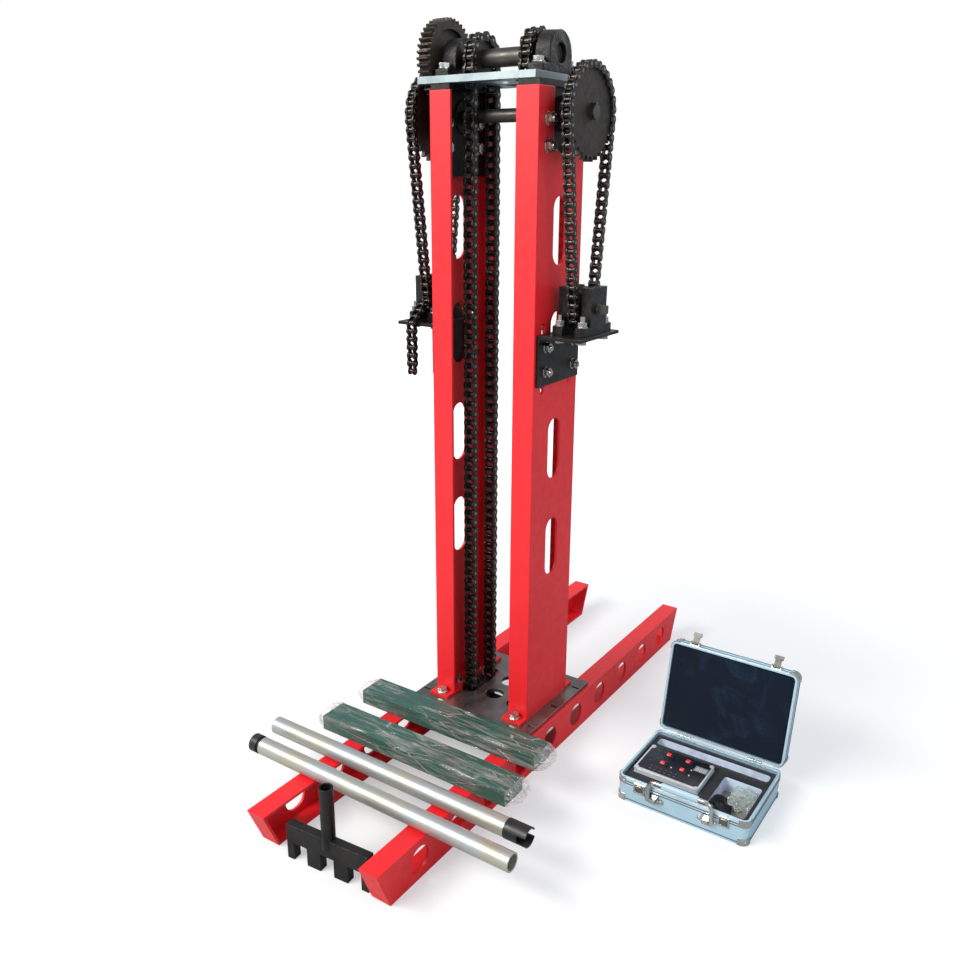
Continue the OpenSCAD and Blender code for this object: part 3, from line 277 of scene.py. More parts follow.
def clearFilm(name, colour, alpha, folds, scale, long, lean=0.0):
    # thin clear film, more opaque and whiter along its folds and in cloudy patches, which paints its
    # highlights; long stretches the folds along the beam
    mat = newMaterial(name, colour, {"Roughness": 0.1, "IOR": 1.5, "Specular IOR Level": 1.0})
    crease = addNode(mat, "TexVoronoi", {"feature": "DISTANCE_TO_EDGE", "Scale": scale},
                     {"Vector": objectPlace(mat, (long, 1.0, 1.0), (0, 0, lean))}).outputs["Distance"]
    ripple = grain(mat, scale=scale*1.6, detail=6.0, stretch=(long, 1, 1), distortion=1.2)
    # where the painted highlights show on the film
    highlightPlaces = spread(mat, grain(mat, scale=13.0, detail=3.0, stretch=(0.5, 1, 1)), 0.32, 0.54)
    line = combine(mat, "MULTIPLY", spread(mat, crease, 0.0, 0.035, 1.0, 0.0), highlightPlaces)
    cloudy = combine(mat, "MULTIPLY", spread(mat, ripple, 0.46, 0.74), highlightPlaces)
    shown = combine(mat, "MAXIMUM", line, cloudy)
    height = combine(mat, "ADD", ripple, combine(mat, "MULTIPLY", line, 0.5))
    return wire(mat, Alpha=spread(mat, shown, 0.0, 1.0, alpha, folds),
                Normal=addBump(mat, height, 0.9, 0.005))


# each material: what makes it, its screen colours and its other settings; chip and edge are linear colours
skinTable = {
    "redPaint": (paintedSteel, [(226, 27, 34), (212, 22, 30)], {"chip": (0.16, 0.03, 0.03), "gloss": 0.46}),
    "columnPaint": (paintedSteel, [(226, 27, 34), (214, 24, 32)],
                    {"chip": (0.3, 0.03, 0.04), "gloss": 0.46, "corner": 0.0035}),
    "greenPaint": (paintedSteel, [(0, 80, 66), (0, 64, 52)], {"chip": (0.05, 0.09, 0.08), "gloss": 0.3}),
    "plateSteel": (darkSteel, [(112, 103, 100), (150, 140, 136)],
                   {"rough": 0.3, "scale": 9.0, "metal": 0.9, "bump": 0.05, "edge": (0.5, 0.48, 0.46)}),
    "castSteel": (darkSteel, [(24, 23, 22), (44, 42, 39)],
                  {"rough": 0.34, "scale": 60.0, "metal": 0.6, "bump": 0.9}),
    "oiledSteel": (darkSteel, [(26, 25, 24), (44, 42, 40)],
                   {"rough": 0.4, "scale": 22.0, "metal": 0.6, "bump": 0.1}),
    "gearSteel": (darkSteel, [(36, 28, 20), (48, 38, 28)],
                  {"rough": 0.5, "scale": 24.0, "metal": 0.3, "bump": 0.08, "edge": (0.2, 0.18, 0.16)}),
    "shaftSteel": (darkSteel, [(72, 70, 64), (90, 88, 82)],
                   {"rough": 0.42, "scale": 14.0, "metal": 0.75, "bump": 0.03, "edge": (0.4, 0.4, 0.4)}),
    # the bright edge colour of the chain's link plates and rollers is a painted highlight
    "linkSteel": (darkSteel, [(30, 28, 27), (62, 58, 54)],
                  {"rough": 0.3, "scale": 120.0, "metal": 0.85, "bump": 0.05, "edge": (0.62, 0.6, 0.57)}),
    "rollerSteel": (darkSteel, [(36, 34, 33), (74, 69, 66)],
                    {"rough": 0.26, "scale": 150.0, "metal": 0.9, "bump": 0.03, "edge": (0.4, 0.38, 0.36)}),
    "pinSteel": (brightMetal, [(150, 145, 138), (104, 98, 92)], {"rough": 0.28, "scale": 300.0}),
    "zincPlate": (brightMetal, [(156, 168, 170), (134, 148, 152)],
                  {"rough": 0.42, "scale": 40.0, "stretch": (1, 14, 1), "bump": 0.03}),
    "boltZinc": (brightMetal, [(196, 194, 186), (150, 150, 146)], {"rough": 0.22, "scale": 200.0}),
    "tubeZinc": (brightMetal, [(176, 184, 186), (184, 180, 158)],
                 {"rough": 0.4, "scale": 60.0, "stretch": (0.6, 14, 14), "bump": 0.03, "patch": 6.0,
                  "metal": 0.72}),
    "caseSheet": (brightMetal, [(190, 220, 232), (178, 210, 224)],
                  {"rough": 0.4, "scale": 50.0, "stretch": (12, 12, 1), "metal": 0.6}),
    "caseEdge": (brightMetal, [(224, 233, 236), (198, 212, 218)],
                 {"rough": 0.3, "scale": 60.0, "metal": 0.7}),
    # painted shade of the grooves round the case
    "grooveShade": (mouldedPlastic, [(46, 52, 60)], {"rough": 0.4}),
    "caseChrome": (brightMetal, [(204, 204, 198), (150, 150, 144)], {"rough": 0.2, "scale": 90.0}),
    "catchSteel": (brightMetal, [(124, 122, 118), (90, 90, 88)], {"rough": 0.3, "scale": 90.0}),
    "gripGrey": (mouldedPlastic, [(170, 196, 208)], {"rough": 0.32, "scale": 300.0, "bump": 0.05}),
    "blackPlastic": (mouldedPlastic, [(24, 24, 26)], {"rough": 0.42}),
    "panelBlack": (mouldedPlastic, [(17, 20, 30)], {"rough": 0.4, "scale": 700.0, "bump": 0.08}),
    "meterFrame": (brightMetal, [(214, 222, 224), (196, 206, 210)],
                   {"rough": 0.42, "scale": 60.0, "stretch": (10, 10, 1), "metal": 0.35}),
    "meterCorner": (brightMetal, [(224, 226, 224), (196, 198, 198)],
                    {"rough": 0.34, "scale": 90.0, "metal": 0.5}),
    "buttonRed": (mouldedPlastic, [(238, 66, 82)],
                  {"rough": 0.26, "scale": 300.0, "bump": 0.04, "coat": 0.5}),
    "markWhite": (mouldedPlastic, [(226, 228, 230)], {"rough": 0.5}),
    "ledFace": (mouldedPlastic, [(120, 122, 124)], {"rough": 0.3}),
    "leadBlack": (mouldedPlastic, [(18, 18, 20)], {"rough": 0.45, "scale": 400.0, "bump": 0.1}),
    "foamBlack": (foamSkin, [(22, 23, 26), (34, 35, 39)], {"scale": 900.0}),
    "foamPale": (foamSkin, [(186, 198, 214), (160, 168, 180)], {"scale": 500.0}),
    "foamTan": (foamSkin, [(142, 134, 124), (116, 108, 100)], {"scale": 500.0}),
    "pileBlue": (pileCloth, [(12, 23, 36), (17, 30, 47), (40, 56, 82)], {}),
    # the beam film's warm grey colour is a painted reflection; the whiter folds of all these films are
    # painted highlights
    "beamFilm": (clearFilm, [(198, 190, 183)],
                 {"alpha": 0.05, "folds": 0.62, "scale": 46.0, "long": 0.16, "lean": 0.12}),
    "filmEnd": (clearFilm, [(216, 212, 208)], {"alpha": 0.16, "folds": 0.85, "scale": 90.0, "long": 0.8}),
    "bagFilm": (clearFilm, [(214, 232, 224)], {"alpha": 0.22, "folds": 0.85, "scale": 130.0, "long": 0.6}),
}
skins = {name: make(name, *(tone(*colour) for colour in colours), **settings)
         for name, (make, colours, settings) in skinTable.items()}
nodeSkins = {
    "redPaint": ["rail_left", "rail_right", "foot_plates"],
    "columnPaint": ["column_left", "column_right"],
    "plateSteel": ["base_plate"],
    "zincPlate": ["top_plate"],
    "castSteel": ["top_blocks", "column_caps", "crank_blocks", "lower_bearings"],
    "oiledSteel": ["bearing_plates", "bracket_left", "bracket_right", "fork_tool"],
    "boltZinc": ["hex_bolts", "bracket_bolts", "block_studs"],
    "gearSteel": ["drive_gear", "main_sprockets", "pinion", "side_sprockets", "crank_sprocket_left",
                  "crank_sprocket_right", "lower_shaft"],
    "shaftSteel": ["drive_shaft", "counter_shaft", "crank_shaft_left", "crank_shaft_right"],
    "tubeZinc": ["tube_back", "tube_front"],
    "blackPlastic": ["tube_ends"],
    "greenPaint": ["beam_back", "beam_front"],
    "caseSheet": ["case_shell", "lid_shell"],
    "caseChrome": ["case_fittings", "lid_fittings", "case_handle"],
    "catchSteel": ["latch_left", "latch_right"],
    "meterFrame": ["meter_box"],
    "leadBlack": ["lead_plugs"],
}

print("node materials")
for skin, names in nodeSkins.items():
    for name in names:
        mesh = frame["nodes"][name].data
        mesh.materials.clear()
        mesh.materials.append(skins[skin])


# floor and lamps

def addFloor():
    # white from further out, so that no horizon shows
    bm = bmesh.new()
    bmesh.ops.create_grid(bm, x_segments=1, y_segments=1, size=studio["floorSize"]/2)
    bmesh.ops.translate(bm, verts=bm.verts, vec=(0, 0, studio["floorZ"]))
    mesh = meshFrom(bm, "floor")
    floor = linkObject("floor", mesh)
    mat = newMaterial("paleFloor", studio["floorColour"], {
        "Roughness": 0.9, "Specular IOR Level": 0.1, "Emission Color": (1, 1, 1, 1)})
    away = addNode(mat, "VectorMath", {"operation": "LENGTH"}, {"Vector": objectPlace(mat)}).outputs["Value"]
    glow = spread(mat, away, *studio["glowReach"], *studio["floorGlow"])
    seen = addNode(mat, "LightPath").outputs["Is Camera Ray"]
    mesh.materials.append(wire(mat, Emission_Strength=combine(mat, "MULTIPLY", glow, seen)))


print("stage")
bpy.context.scene.view_settings.view_transform = "Standard"
addCamera()
addWorld()
addFloor()
for lampName, settings in studio["lamps"].items():
    addLamp(lampName, *settings)


# helpers for new pieces

def finishPiece(bm, name, body, skinNames, sharp=35):
    mesh = meshFrom(bm, name)
    piece = linkObject(name, mesh)
    for skin in skinNames:
        mesh.materials.append(skins[skin])
    mesh.shade_smooth()
    mesh.set_sharp_from_angle(angle=radians(sharp))
    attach(piece, body)
    return piece


def stamp(bm, mesh, matrix, material=None):
    # adds a copy of a mesh, moved by matrix
    known, faces = len(bm.verts), len(bm.faces)
    bm.from_mesh(mesh)
    bm.verts.ensure_lookup_table()
    bmesh.ops.transform(bm, matrix=matrix, verts=bm.verts[known:])
    if material is not None:
        bm.faces.ensure_lookup_table()
        for face in bm.faces[faces:]:
            face.material_index = material


def weld(bm):
    bmesh.ops.remove_doubles(bm, verts=bm.verts, dist=1e-5)


def meshOf(bm, name):
    bmesh.ops.recalc_face_normals(bm, faces=bm.faces)
    return meshFrom(bm, name)


def takeMesh(holder):
    # the finished mesh of a helper object, which goes away
    made = bpy.data.meshes.new_from_object(holder.evaluated_get(bpy.context.evaluated_depsgraph_get()))
    bpy.data.objects.remove(holder)
    return made


def jointPlace(name):
    return Vector(next(joint for joint in frame["joints"] if joint["name"] == name)["pos_m"])


def paintNew(bm, known, material):
    for face in bm.faces:
        if face not in known:
            face.material_index = material


def addBox(bm, low, high, material=0, bevel=0.0, segments=2):
    known = set(bm.faces)
    made = bmesh.ops.create_cube(bm, size=1.0)["verts"]
    low, high = Vector(low), Vector(high)
    bmesh.ops.scale(bm, verts=made, vec=high - low)
    bmesh.ops.translate(bm, verts=made, vec=(low + high)/2)
    if bevel:
        edges = list({edge for vert in made for edge in vert.link_edges})
        bmesh.ops.bevel(bm, geom=edges, offset=bevel, segments=segments, profile=0.5, affect="EDGES",
                        material=-1)
    paintNew(bm, known, material)


def addRod(bm, start, end, radius, sides=16, material=0, endRadius=None):
    known = set(bm.faces)
    start, end = Vector(start), Vector(end)
    along = end - start
    made = bmesh.ops.create_cone(bm, cap_ends=True, segments=sides, radius1=radius,
                                 radius2=radius if endRadius is None else endRadius,
                                 depth=along.length)["verts"]
    turn = along.to_track_quat("Z", "Y").to_matrix().to_4x4()
    bmesh.ops.transform(bm, matrix=Matrix.Translation((start + end)/2) @ turn, verts=made)
    paintNew(bm, known, material)


def addRing(bm, low, high, inner, outer, centre, steps=64):
    # a flat ring round an axis along x
    known = set(bm.faces)
    corners = [(low, inner), (high, inner), (high, outer), (low, outer)]
    profile = [bm.verts.new((x, centre.y + reach, centre.z)) for x, reach in corners]
    edges = [bm.edges.new((profile[k], profile[(k + 1) % 4])) for k in range(4)]
    bmesh.ops.spin(bm, geom=profile + edges, cent=centre, axis=(1, 0, 0), angle=2*pi, steps=steps,
                   use_merge=True)
    bmesh.ops.recalc_face_normals(bm, faces=[face for face in bm.faces if face not in known])


def addDome(bm, place, radius, height, facing, material=0):
    # a rivet head that stands on its flat side
    known = set(bm.faces)
    made = bmesh.ops.create_uvsphere(bm, u_segments=14, v_segments=8, radius=1.0)["verts"]
    lost = [vert for vert in made if vert.co.z < -0.2]
    bmesh.ops.delete(bm, geom=lost, context="VERTS")
    made = [vert for vert in made if vert.is_valid]
    bmesh.ops.scale(bm, verts=made, vec=(radius, radius, height))
    turn = Vector(facing).to_track_quat("Z", "Y").to_matrix().to_4x4()
    bmesh.ops.transform(bm, matrix=Matrix.Translation(place) @ turn, verts=made)
    paintNew(bm, known, material)


def frameStrips(low, high, rim):
    # the four strips of a flat frame, each as two corners
    return [(low, (high[0], low[1] + rim)), ((low[0], high[1] - rim), high),
            ((low[0], low[1] + rim), (low[0] + rim, high[1] - rim)),
            ((high[0] - rim, low[1] + rim), (high[0], high[1] - rim))]


def weldedCopy(node):
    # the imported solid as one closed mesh
    bm = bmesh.new()
    bm.from_mesh(frame["nodes"][node].data)
    weld(bm)
    bmesh.ops.recalc_face_normals(bm, faces=bm.faces)
    return bm


def centreOf(node):
    low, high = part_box(node)
    return (Vector(low) + Vector(high))/2


# chains

mainChain = {
    "pitch": 19.05*mm, "teeth": 12, "roller": 5.95*mm, "gap": 12.6*mm, "plate": 2.4*mm, "height": 17.4*mm,
    "waist": 3.1*mm, "pin": 3.0*mm, "x": abs(centreOf("main_chain_left").x),
}
linkFit = {"plateGap": 0.2*mm, "rollerGap": 0.1*mm, "pinOut": 0.8*mm, "rollerSides": 16, "pinSides": 12}
sideChain = {
    "pitch": 15.875*mm, "teeth": 30, "crankTeeth": 14, "roller": 5.05*mm, "gap": 9.5*mm, "plate": 2.0*mm,
    "height": 14.5*mm, "waist": 2.6*mm, "pin": 2.5*mm, "x": abs(centreOf("side_chain_left").x), "links": 64,
}


def plateMesh(chain):
    # a waisted link plate lying on its pitch line, from the first pin to the second
    bm = bmesh.new()
    bmesh.ops.create_grid(bm, x_segments=14, y_segments=1, size=1.0)
    half, radius = chain["pitch"]/2, chain["height"]/2
    for vert in bm.verts:
        along = (half + radius)*sin(vert.co.x*pi/2)
        if abs(along) > half:
            wide = sqrt(max(0.0, radius**2 - (abs(along) - half)**2))
        else:
            wide = radius - chain["waist"]*cos(pi*along/(2*half))**2
        vert.co = Vector((along + half, wide if vert.co.y > 0 else -wide, 0))
    weld(bm)
    raised = bmesh.ops.extrude_face_region(bm, geom=bm.faces[:])["geom"]
    lifted = [item for item in raised if isinstance(item, bmesh.types.BMVert)]
    bmesh.ops.translate(bm, verts=lifted, vec=(0, 0, chain["plate"]))
    return meshOf(bm, "linkPlate")


def barMesh(radius, half, sides, material):
    bm = bmesh.new()
    addRod(bm, (0, 0, -half), (0, 0, half), radius, sides, material)
    return meshOf(bm, "linkBar")


def linkChain(name, chain, runs, nodes, closed=True):
    # runs are (x, list of pins as (y, z)); even links are the inner ones
    plate = plateMesh(chain)
    innerZ = chain["gap"]/2
    outerZ = innerZ + chain["plate"] + linkFit["plateGap"]
    roller = barMesh(chain["roller"], innerZ - linkFit["rollerGap"], linkFit["rollerSides"], 1)
    pin = barMesh(chain["pin"], outerZ + chain["plate"] + linkFit["pinOut"], linkFit["pinSides"], 2)
    # the plate's own frame to the row frame: length and height into y and z, thickness along x
    stand = Matrix(((0, 0, 1, 0), (1, 0, 0, 0), (0, 1, 0, 0), (0, 0, 0, 1)))
    bm = bmesh.new()
    for x, pins in runs:
        count = len(pins)
        for k in range(count if closed else count - 1):
            first, second = Vector(pins[k]), Vector(pins[(k + 1) % count])
            angle = atan2(second.y - first.y, second.x - first.x)
            base = Matrix.Translation((x, first.x, first.y)) @ stand @ Matrix.Rotation(angle, 4, "Z")
            out = innerZ if k % 2 == 0 else outerZ
            stamp(bm, plate, base @ Matrix.Translation((0, 0, out)))
            stamp(bm, plate, base @ Matrix.Translation((0, 0, -out - chain["plate"])))
        for y, z in pins:
            here = Matrix.Translation((x, y, z)) @ stand
            stamp(bm, roller, here)
            stamp(bm, pin, here)
    piece = finishPiece(bm, name, "frame", ["linkSteel", "rollerSteel", "pinSteel"], 40)
    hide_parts(*nodes)


def mainPins():
    top, low = centreOf("drive_gear"), centreOf("lower_shaft")
    pitch, teeth = mainChain["pitch"], mainChain["teeth"]
    radius = pitch/2/sin(pi/teeth)
    run, half, step = round((top.z - low.z)/pitch), teeth//2, 2*pi/teeth
    pins = [(top.y - radius, top.z - k*pitch) for k in range(run)]
    pins += [(top.y + radius*cos(pi + k*step), low.z + radius*sin(pi + k*step)) for k in range(half)]
    pins += [(top.y + radius, low.z + k*pitch) for k in range(run)]
    pins += [(top.y + radius*cos(k*step), top.z + radius*sin(k*step)) for k in range(half)]
    return pins


def sidePins():
    top, low = centreOf("side_sprockets"), centreOf("crank_sprocket_left")
    pitch, links = sideChain["pitch"], sideChain["links"]
    bigStep, smallStep = 2*pi/sideChain["teeth"], 2*pi/sideChain["crankTeeth"]
    big, small = pitch/2/sin(bigStep/2), pitch/2/sin(smallStep/2)
    lean = asin((big - small)/(top.z - low.z))
    leave, meet = (pi/2 + lean)/bigStep, links/2 - (pi/2 - lean)/smallStep

    def half(s):
        if s <= leave:
            return big*cos(pi/2 + s*bigStep), top.z + big*sin(pi/2 + s*bigStep)
        angle, share = pi + lean, (s - leave)/(meet - leave)
        if s <= meet:
            return ((big*(1 - share) + small*share)*cos(angle),
                    (top.z + big*sin(angle))*(1 - share) + (low.z + small*sin(angle))*share)
        angle += (s - meet)*smallStep
        return small*cos(angle), low.z + small*sin(angle)

    pins = []
    for k in range(links):
        y, z = half(k) if k <= links/2 else half(links - k)
        pins.append((top.y + (y if k <= links/2 else -y), z))
    return pins


tail = {"height": 14.6*mm, "rest": 0.3*mm, "leaning": (3, 2, 1), "hanging": 7}


def tailPins():
    # the loose end leans on the front strand and hangs over the shelf's edge
    low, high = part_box("bracket_left")
    crank = centreOf("crank_sprocket_left")
    pitch, height, rest = sideChain["pitch"], tail["height"], tail["rest"]
    small = pitch/2/sin(pi/sideChain["crankTeeth"])
    y, z = low[1] - height/2 - rest, high[2]
    lean = acos((crank.y - small - height - rest - y)/(tail["leaning"][0]*pitch))
    pins = [(y + k*pitch*cos(lean), z + k*pitch*sin(lean)) for k in tail["leaning"]]
    return pins + [(y, z - k*pitch) for k in range(tail["hanging"])]


print("chains")
linkChain("mainChains", mainChain, [(side*mainChain["x"], mainPins()) for side in (-1, 1)],
          ["main_chain_left", "main_chain_right", "main_chain_ends"])
linkChain("sideChains", sideChain, [(side*sideChain["x"], sidePins()) for side in (-1, 1)],
          ["side_chain_left", "side_chain_right", "side_chain_ends"])
linkChain("chainTail", sideChain, [(-sideChain["x"], tailPins())], ["chain_tail"], closed=False)


# cast blocks of the drive shaft, lumpy as they come out of the sand

cast = {"cell": 1.5*mm, "lump": 0.9*mm, "lumpScale": 55, "sink": 0.35, "grain": 0.35*mm, "grainScale": 260,
        "bore": 16*mm, "fade": 6*mm, "seam": 1.2*mm, "ringInner": 24.6*mm, "ringOuter": 27.5*mm,
        "ringGap": 1.5*mm}


def addCastBlocks():
    holder = linkObject("castHolder", meshOf(weldedCopy("top_blocks"), "castHolder"))
    cells = holder.modifiers.new("cells", "REMESH")
    cells.mode, cells.voxel_size = "VOXEL", cast["cell"]
    bm = bmesh.new()
    bm.from_mesh(takeMesh(holder))
    bmesh.ops.smooth_vert(bm, verts=bm.verts, factor=0.5, use_axis_x=True, use_axis_y=True, use_axis_z=True)
    bm.normal_update()
    low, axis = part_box("top_blocks")[0], centreOf("drive_gear")
    moves = []
    for vert in bm.verts:
        away = sqrt((vert.co.y - axis.y)**2 + (vert.co.z - axis.z)**2) - cast["bore"]
        # the bore and the foot stay true
        free = min(1.0, max(0.0, away/cast["fade"])) if vert.co.z > low[2] + cast["seam"] else 0.0
        lump = (noise.noise(vert.co*cast["lumpScale"]) - cast["sink"])*cast["lump"]
        moves.append(vert.normal*free*(lump + noise.noise(vert.co*cast["grainScale"])*cast["grain"]))
    for vert, move in zip(bm.verts, moves):
        vert.co += move
    piece = finishPiece(bm, "castBlocks", "frame", ["castSteel"], 50)
    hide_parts("top_blocks")


def addShaftRing():
    # bright end ring on the collar between the gear and the left block
    gear, block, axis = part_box("drive_gear"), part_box("top_blocks"), centreOf("drive_gear")
    bm = bmesh.new()
    addRing(bm, gear[1][0] + cast["ringGap"], block[0][0] - cast["ringGap"], cast["ringInner"],
            cast["ringOuter"], axis)
    piece = finishPiece(bm, "shaftRing", "drive", ["boltZinc"], 40)


print("cast blocks")
addCastBlocks()
addShaftRing()


# film round the green beams

film = {"along": 200, "around": 84, "overhang": 22*mm, "lift": 0.9*mm, "ripple": 2.6*mm, "floorLift": 0.2*mm,
        "pucker": 0.52, "below": 0.45*mm, "edge": 0.98, "folds": 0.6, "foldsAlong": 16, "foldsAround": 2.2,
        "ridges": 0.5, "ridgesAlong": 34, "ridgesAround": 1.2, "endGrow": 1.6, "gathers": 9,
        "gatherDepth": 0.28}


def wrapBeam(name, node, seed):
    low, high = (Vector(corner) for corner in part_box(node))
    middle, half = (low + high)/2, (high - low)/2
    bm = bmesh.new()
    bmesh.ops.create_grid(bm, x_segments=film["along"], y_segments=film["around"], size=1.0)
    reach = half.x + film["overhang"]
    for vert in bm.verts:
        turn = pi*vert.co.y
        x = reach*vert.co.x
        # a box outline with soft corners
        c, s = cos(turn), sin(turn)
        grow = 1/max(abs(c), abs(s))
        y, z = c*grow*half.y, s*grow*half.z
        past = max(0.0, abs(x) - half.x)/film["overhang"]
        shrink = 1 - film["pucker"]*past**1.5
        around = film["foldsAround"]
        spot = Vector((x*film["foldsAlong"] + seed, c*around, s*around))
        folds = noise.turbulence(spot, 4, False, noise_basis="PERLIN_ORIGINAL") + 0.35*noise.noise(spot*4)
        spot = Vector((x*film["ridgesAlong"] + turn*1.5 + seed, turn*film["ridgesAround"], 1.7))
        ridge = abs(noise.noise(spot))
        crumple = max(0.0, folds*film["folds"] + ridge*film["ridges"])*(0.5 + film["endGrow"]*past)
        lift = film["lift"] + film["ripple"]*crumple
        if z < -half.z*0.97 and past == 0:
            lift = film["floorLift"]
        edge = film["edge"]
        outward = Vector((0, y/half.y if abs(c) >= abs(s)*edge else 0,
                          z/half.z if abs(s) >= abs(c)*edge else 0))
        wave = sin(turn*film["gathers"] + seed + 3*noise.noise(Vector((turn, seed, 0))))
        radial = shrink*(1 + past*film["gatherDepth"]*wave)
        vert.co = middle + Vector((x, y*radial, z*radial)) + outward.normalized()*lift
    weld(bm)
    lowest = low.z - film["below"]
    for vert in bm.verts:
        vert.co.z = max(vert.co.z, lowest)
    # the gathered ends take a whiter, more opaque film, for their crumpled layers and as painted highlights
    for face in bm.faces:
        face.material_index = int(abs(face.calc_center_median().x - middle.x) > half.x)
    return finishPiece(bm, name, "frame", ["beamFilm", "filmEnd"], 70)


print("films")
films = [wrapBeam("filmBack", "beam_back", 3.1), wrapBeam("filmFront", "beam_front", 11.7)]
for piece in films:
    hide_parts("beam_films")


# instrument case

caseShape = {
    "wall": 4*mm, "corner": 12*mm, "rim": 2.4*mm, "groove": 0.9*mm, "lidAngle": 101, "lid": 28*mm,
    "lidGap": 0.6*mm, "bandNear": 1*mm, "bandFar": 7*mm, "bandProud": 0.5*mm, "bandThick": 0.9*mm,
    "upperGrooves": (9*mm, 14*mm), "footGroove": 5*mm, "lidGrooves": (9*mm, 22*mm), "foamEdge": 0.8*mm,
    "liningEdge": 1.6*mm, "foamSkin": 0.1*mm,
}
caseLow, caseHigh = (Vector(corner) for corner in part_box("case_shell"))
hinge = jointPlace("lid_hinge")
lidTurn = (Matrix.Translation(hinge) @ Matrix.Rotation(-radians(caseShape["lidAngle"]), 4, "X")
           @ Matrix.Translation(-hinge))
lidSeat = caseHigh.z + caseShape["lidGap"]


def roundedLoop(low, high, radius, z, steps=8):
    corners = [((high.x - radius, high.y - radius), 0), ((low.x + radius, high.y - radius), pi/2),
               ((low.x + radius, low.y + radius), pi), ((high.x - radius, low.y + radius), 3*pi/2)]
    return [Vector((x + radius*cos(start + k*pi/2/steps), y + radius*sin(start + k*pi/2/steps), z))
            for (x, y), start in corners for k in range(steps + 1)]


def routeCurve(name, points, radius, closed=False, detail=3):
    data = bpy.data.curves.new(name, "CURVE")
    data.dimensions = "3D"
    spline = data.splines.new("POLY")
    spline.points.add(len(points) - 1)
    for target, point in zip(spline.points, points):
        target.co = (*point, 1)
    spline.use_cyclic_u = closed
    data.bevel_depth, data.bevel_resolution, data.use_fill_caps = radius, detail, not closed
    return linkObject(name, data)


def sweepMesh(points, radius, closed=False, detail=3):
    return takeMesh(routeCurve("route", points, radius, closed, detail))


def caseTrim(name, body, rimZ, bandLow, bandHigh, grooves, matrix):
    # rounded rim with a flat band below it, and thin dark beads round the case that paint the shade in its
    # grooves
    inset = Vector((caseShape["wall"]/2, caseShape["wall"]/2, 0))
    bm = bmesh.new()
    loop = roundedLoop(caseLow + inset, caseHigh - inset, caseShape["corner"] - inset.x, rimZ)
    stamp(bm, sweepMesh(loop, caseShape["rim"], closed=True), Matrix())
    proud = Vector((caseShape["bandProud"], caseShape["bandProud"], 0))
    edge = roundedLoop(caseLow - proud, caseHigh + proud, caseShape["corner"] + proud.x, bandLow)
    verts = [bm.verts.new(point) for point in edge]
    edges = [bm.edges.new((verts[k], verts[(k + 1) % len(verts)])) for k in range(len(verts))]
    made = bmesh.ops.extrude_edge_only(bm, edges=edges)["geom"]
    lifted = [item for item in made if isinstance(item, bmesh.types.BMVert)]
    bmesh.ops.translate(bm, verts=lifted, vec=(0, 0, bandHigh - bandLow))
    wallFaces = [item for item in made if isinstance(item, bmesh.types.BMFace)]
    bmesh.ops.recalc_face_normals(bm, faces=wallFaces)
    bmesh.ops.solidify(bm, geom=wallFaces, thickness=caseShape["bandThick"])
    for z in grooves:
        groove = roundedLoop(caseLow, caseHigh, caseShape["corner"], z)
        stamp(bm, sweepMesh(groove, caseShape["groove"], closed=True, detail=1), Matrix(), 1)
    bmesh.ops.transform(bm, matrix=matrix, verts=bm.verts)
    piece = finishPiece(bm, name, body, ["caseEdge", "grooveShade"], 40)


def foamPiece(name, body, node, skinNames, chooser, bevel):
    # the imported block, welded and with soft edges
    bm = bmesh.new()
    bm.from_mesh(frame["nodes"][node].data)
    weld(bm)
    bmesh.ops.dissolve_limit(bm, angle_limit=radians(2), verts=bm.verts, edges=bm.edges)
    for face in bm.faces:
        face.material_index = chooser(face)
    edges = [edge for edge in bm.edges if len(edge.link_faces) == 2 and edge.calc_face_angle() > radians(50)]
    bmesh.ops.bevel(bm, geom=edges, offset=bevel, segments=2, profile=0.5, affect="EDGES", material=-1)
    piece = finishPiece(bm, name, body, skinNames, 50)
    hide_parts(node)
    return piece


def foamSide(face):
    # black top, tan floors of the recesses, pale walls
    if face.calc_center_median().z > foamTop - caseShape["foamSkin"]:
        return 0
    return 2 if face.normal.z > 0.9 else 1


print("instrument case")
caseTrim("baseTrim", "frame", caseHigh.z - caseShape["rim"], caseHigh.z - caseShape["bandFar"],
         caseHigh.z - caseShape["bandNear"],
         [caseHigh.z - depth for depth in caseShape["upperGrooves"]] + [caseLow.z + caseShape["footGroove"]],
         Matrix())
caseTrim("lidTrim", "lid", lidSeat + caseShape["rim"], lidSeat + caseShape["bandNear"],
         lidSeat + caseShape["bandFar"], [lidSeat + height for height in caseShape["lidGrooves"]], lidTurn)
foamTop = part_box("case_foam")[1][2]
foam = foamPiece("caseFoam", "frame", "case_foam", ["foamBlack", "foamPale", "foamTan"], foamSide,
                 caseShape["foamEdge"])
lining = foamPiece("lidLining", "lid", "lid_lining", ["pileBlue"], lambda face: 0,
                   caseShape["liningEdge"])


# rivets, catch plates and lobes on the case

hardware = {
    "cap": 1.5*mm, "capHeight": 14*mm, "lidCap": 12*mm, "rivet": 1.7*mm, "rivetTall": 0.9*mm,
    "rivetIn": 13*mm, "plate": 2*mm, "catch": 45*mm, "catchWide": 22*mm, "catchLow": 26*mm,
    "catchTall": 20*mm, "catchRim": 2.6*mm, "catchProud": 0.5*mm, "catchEdge": 0.15*mm, "fieldIn": 2*mm,
    "fieldProud": 0.3*mm, "lipHalf": 6*mm, "lipLow": 14*mm, "lipHigh": 16.4*mm, "lipProud": 0.7*mm,
    "lipEdge": 0.25*mm,
    "mount": 76*mm, "mountZ": 26*mm, "lobe": 5.5*mm, "lobeOff": 14.5*mm, "lobeTall": 2.4*mm,
    "lobeTaper": 0.8*mm, "lobeDome": 2.8*mm, "lobeDomeTall": 1.6*mm,
}


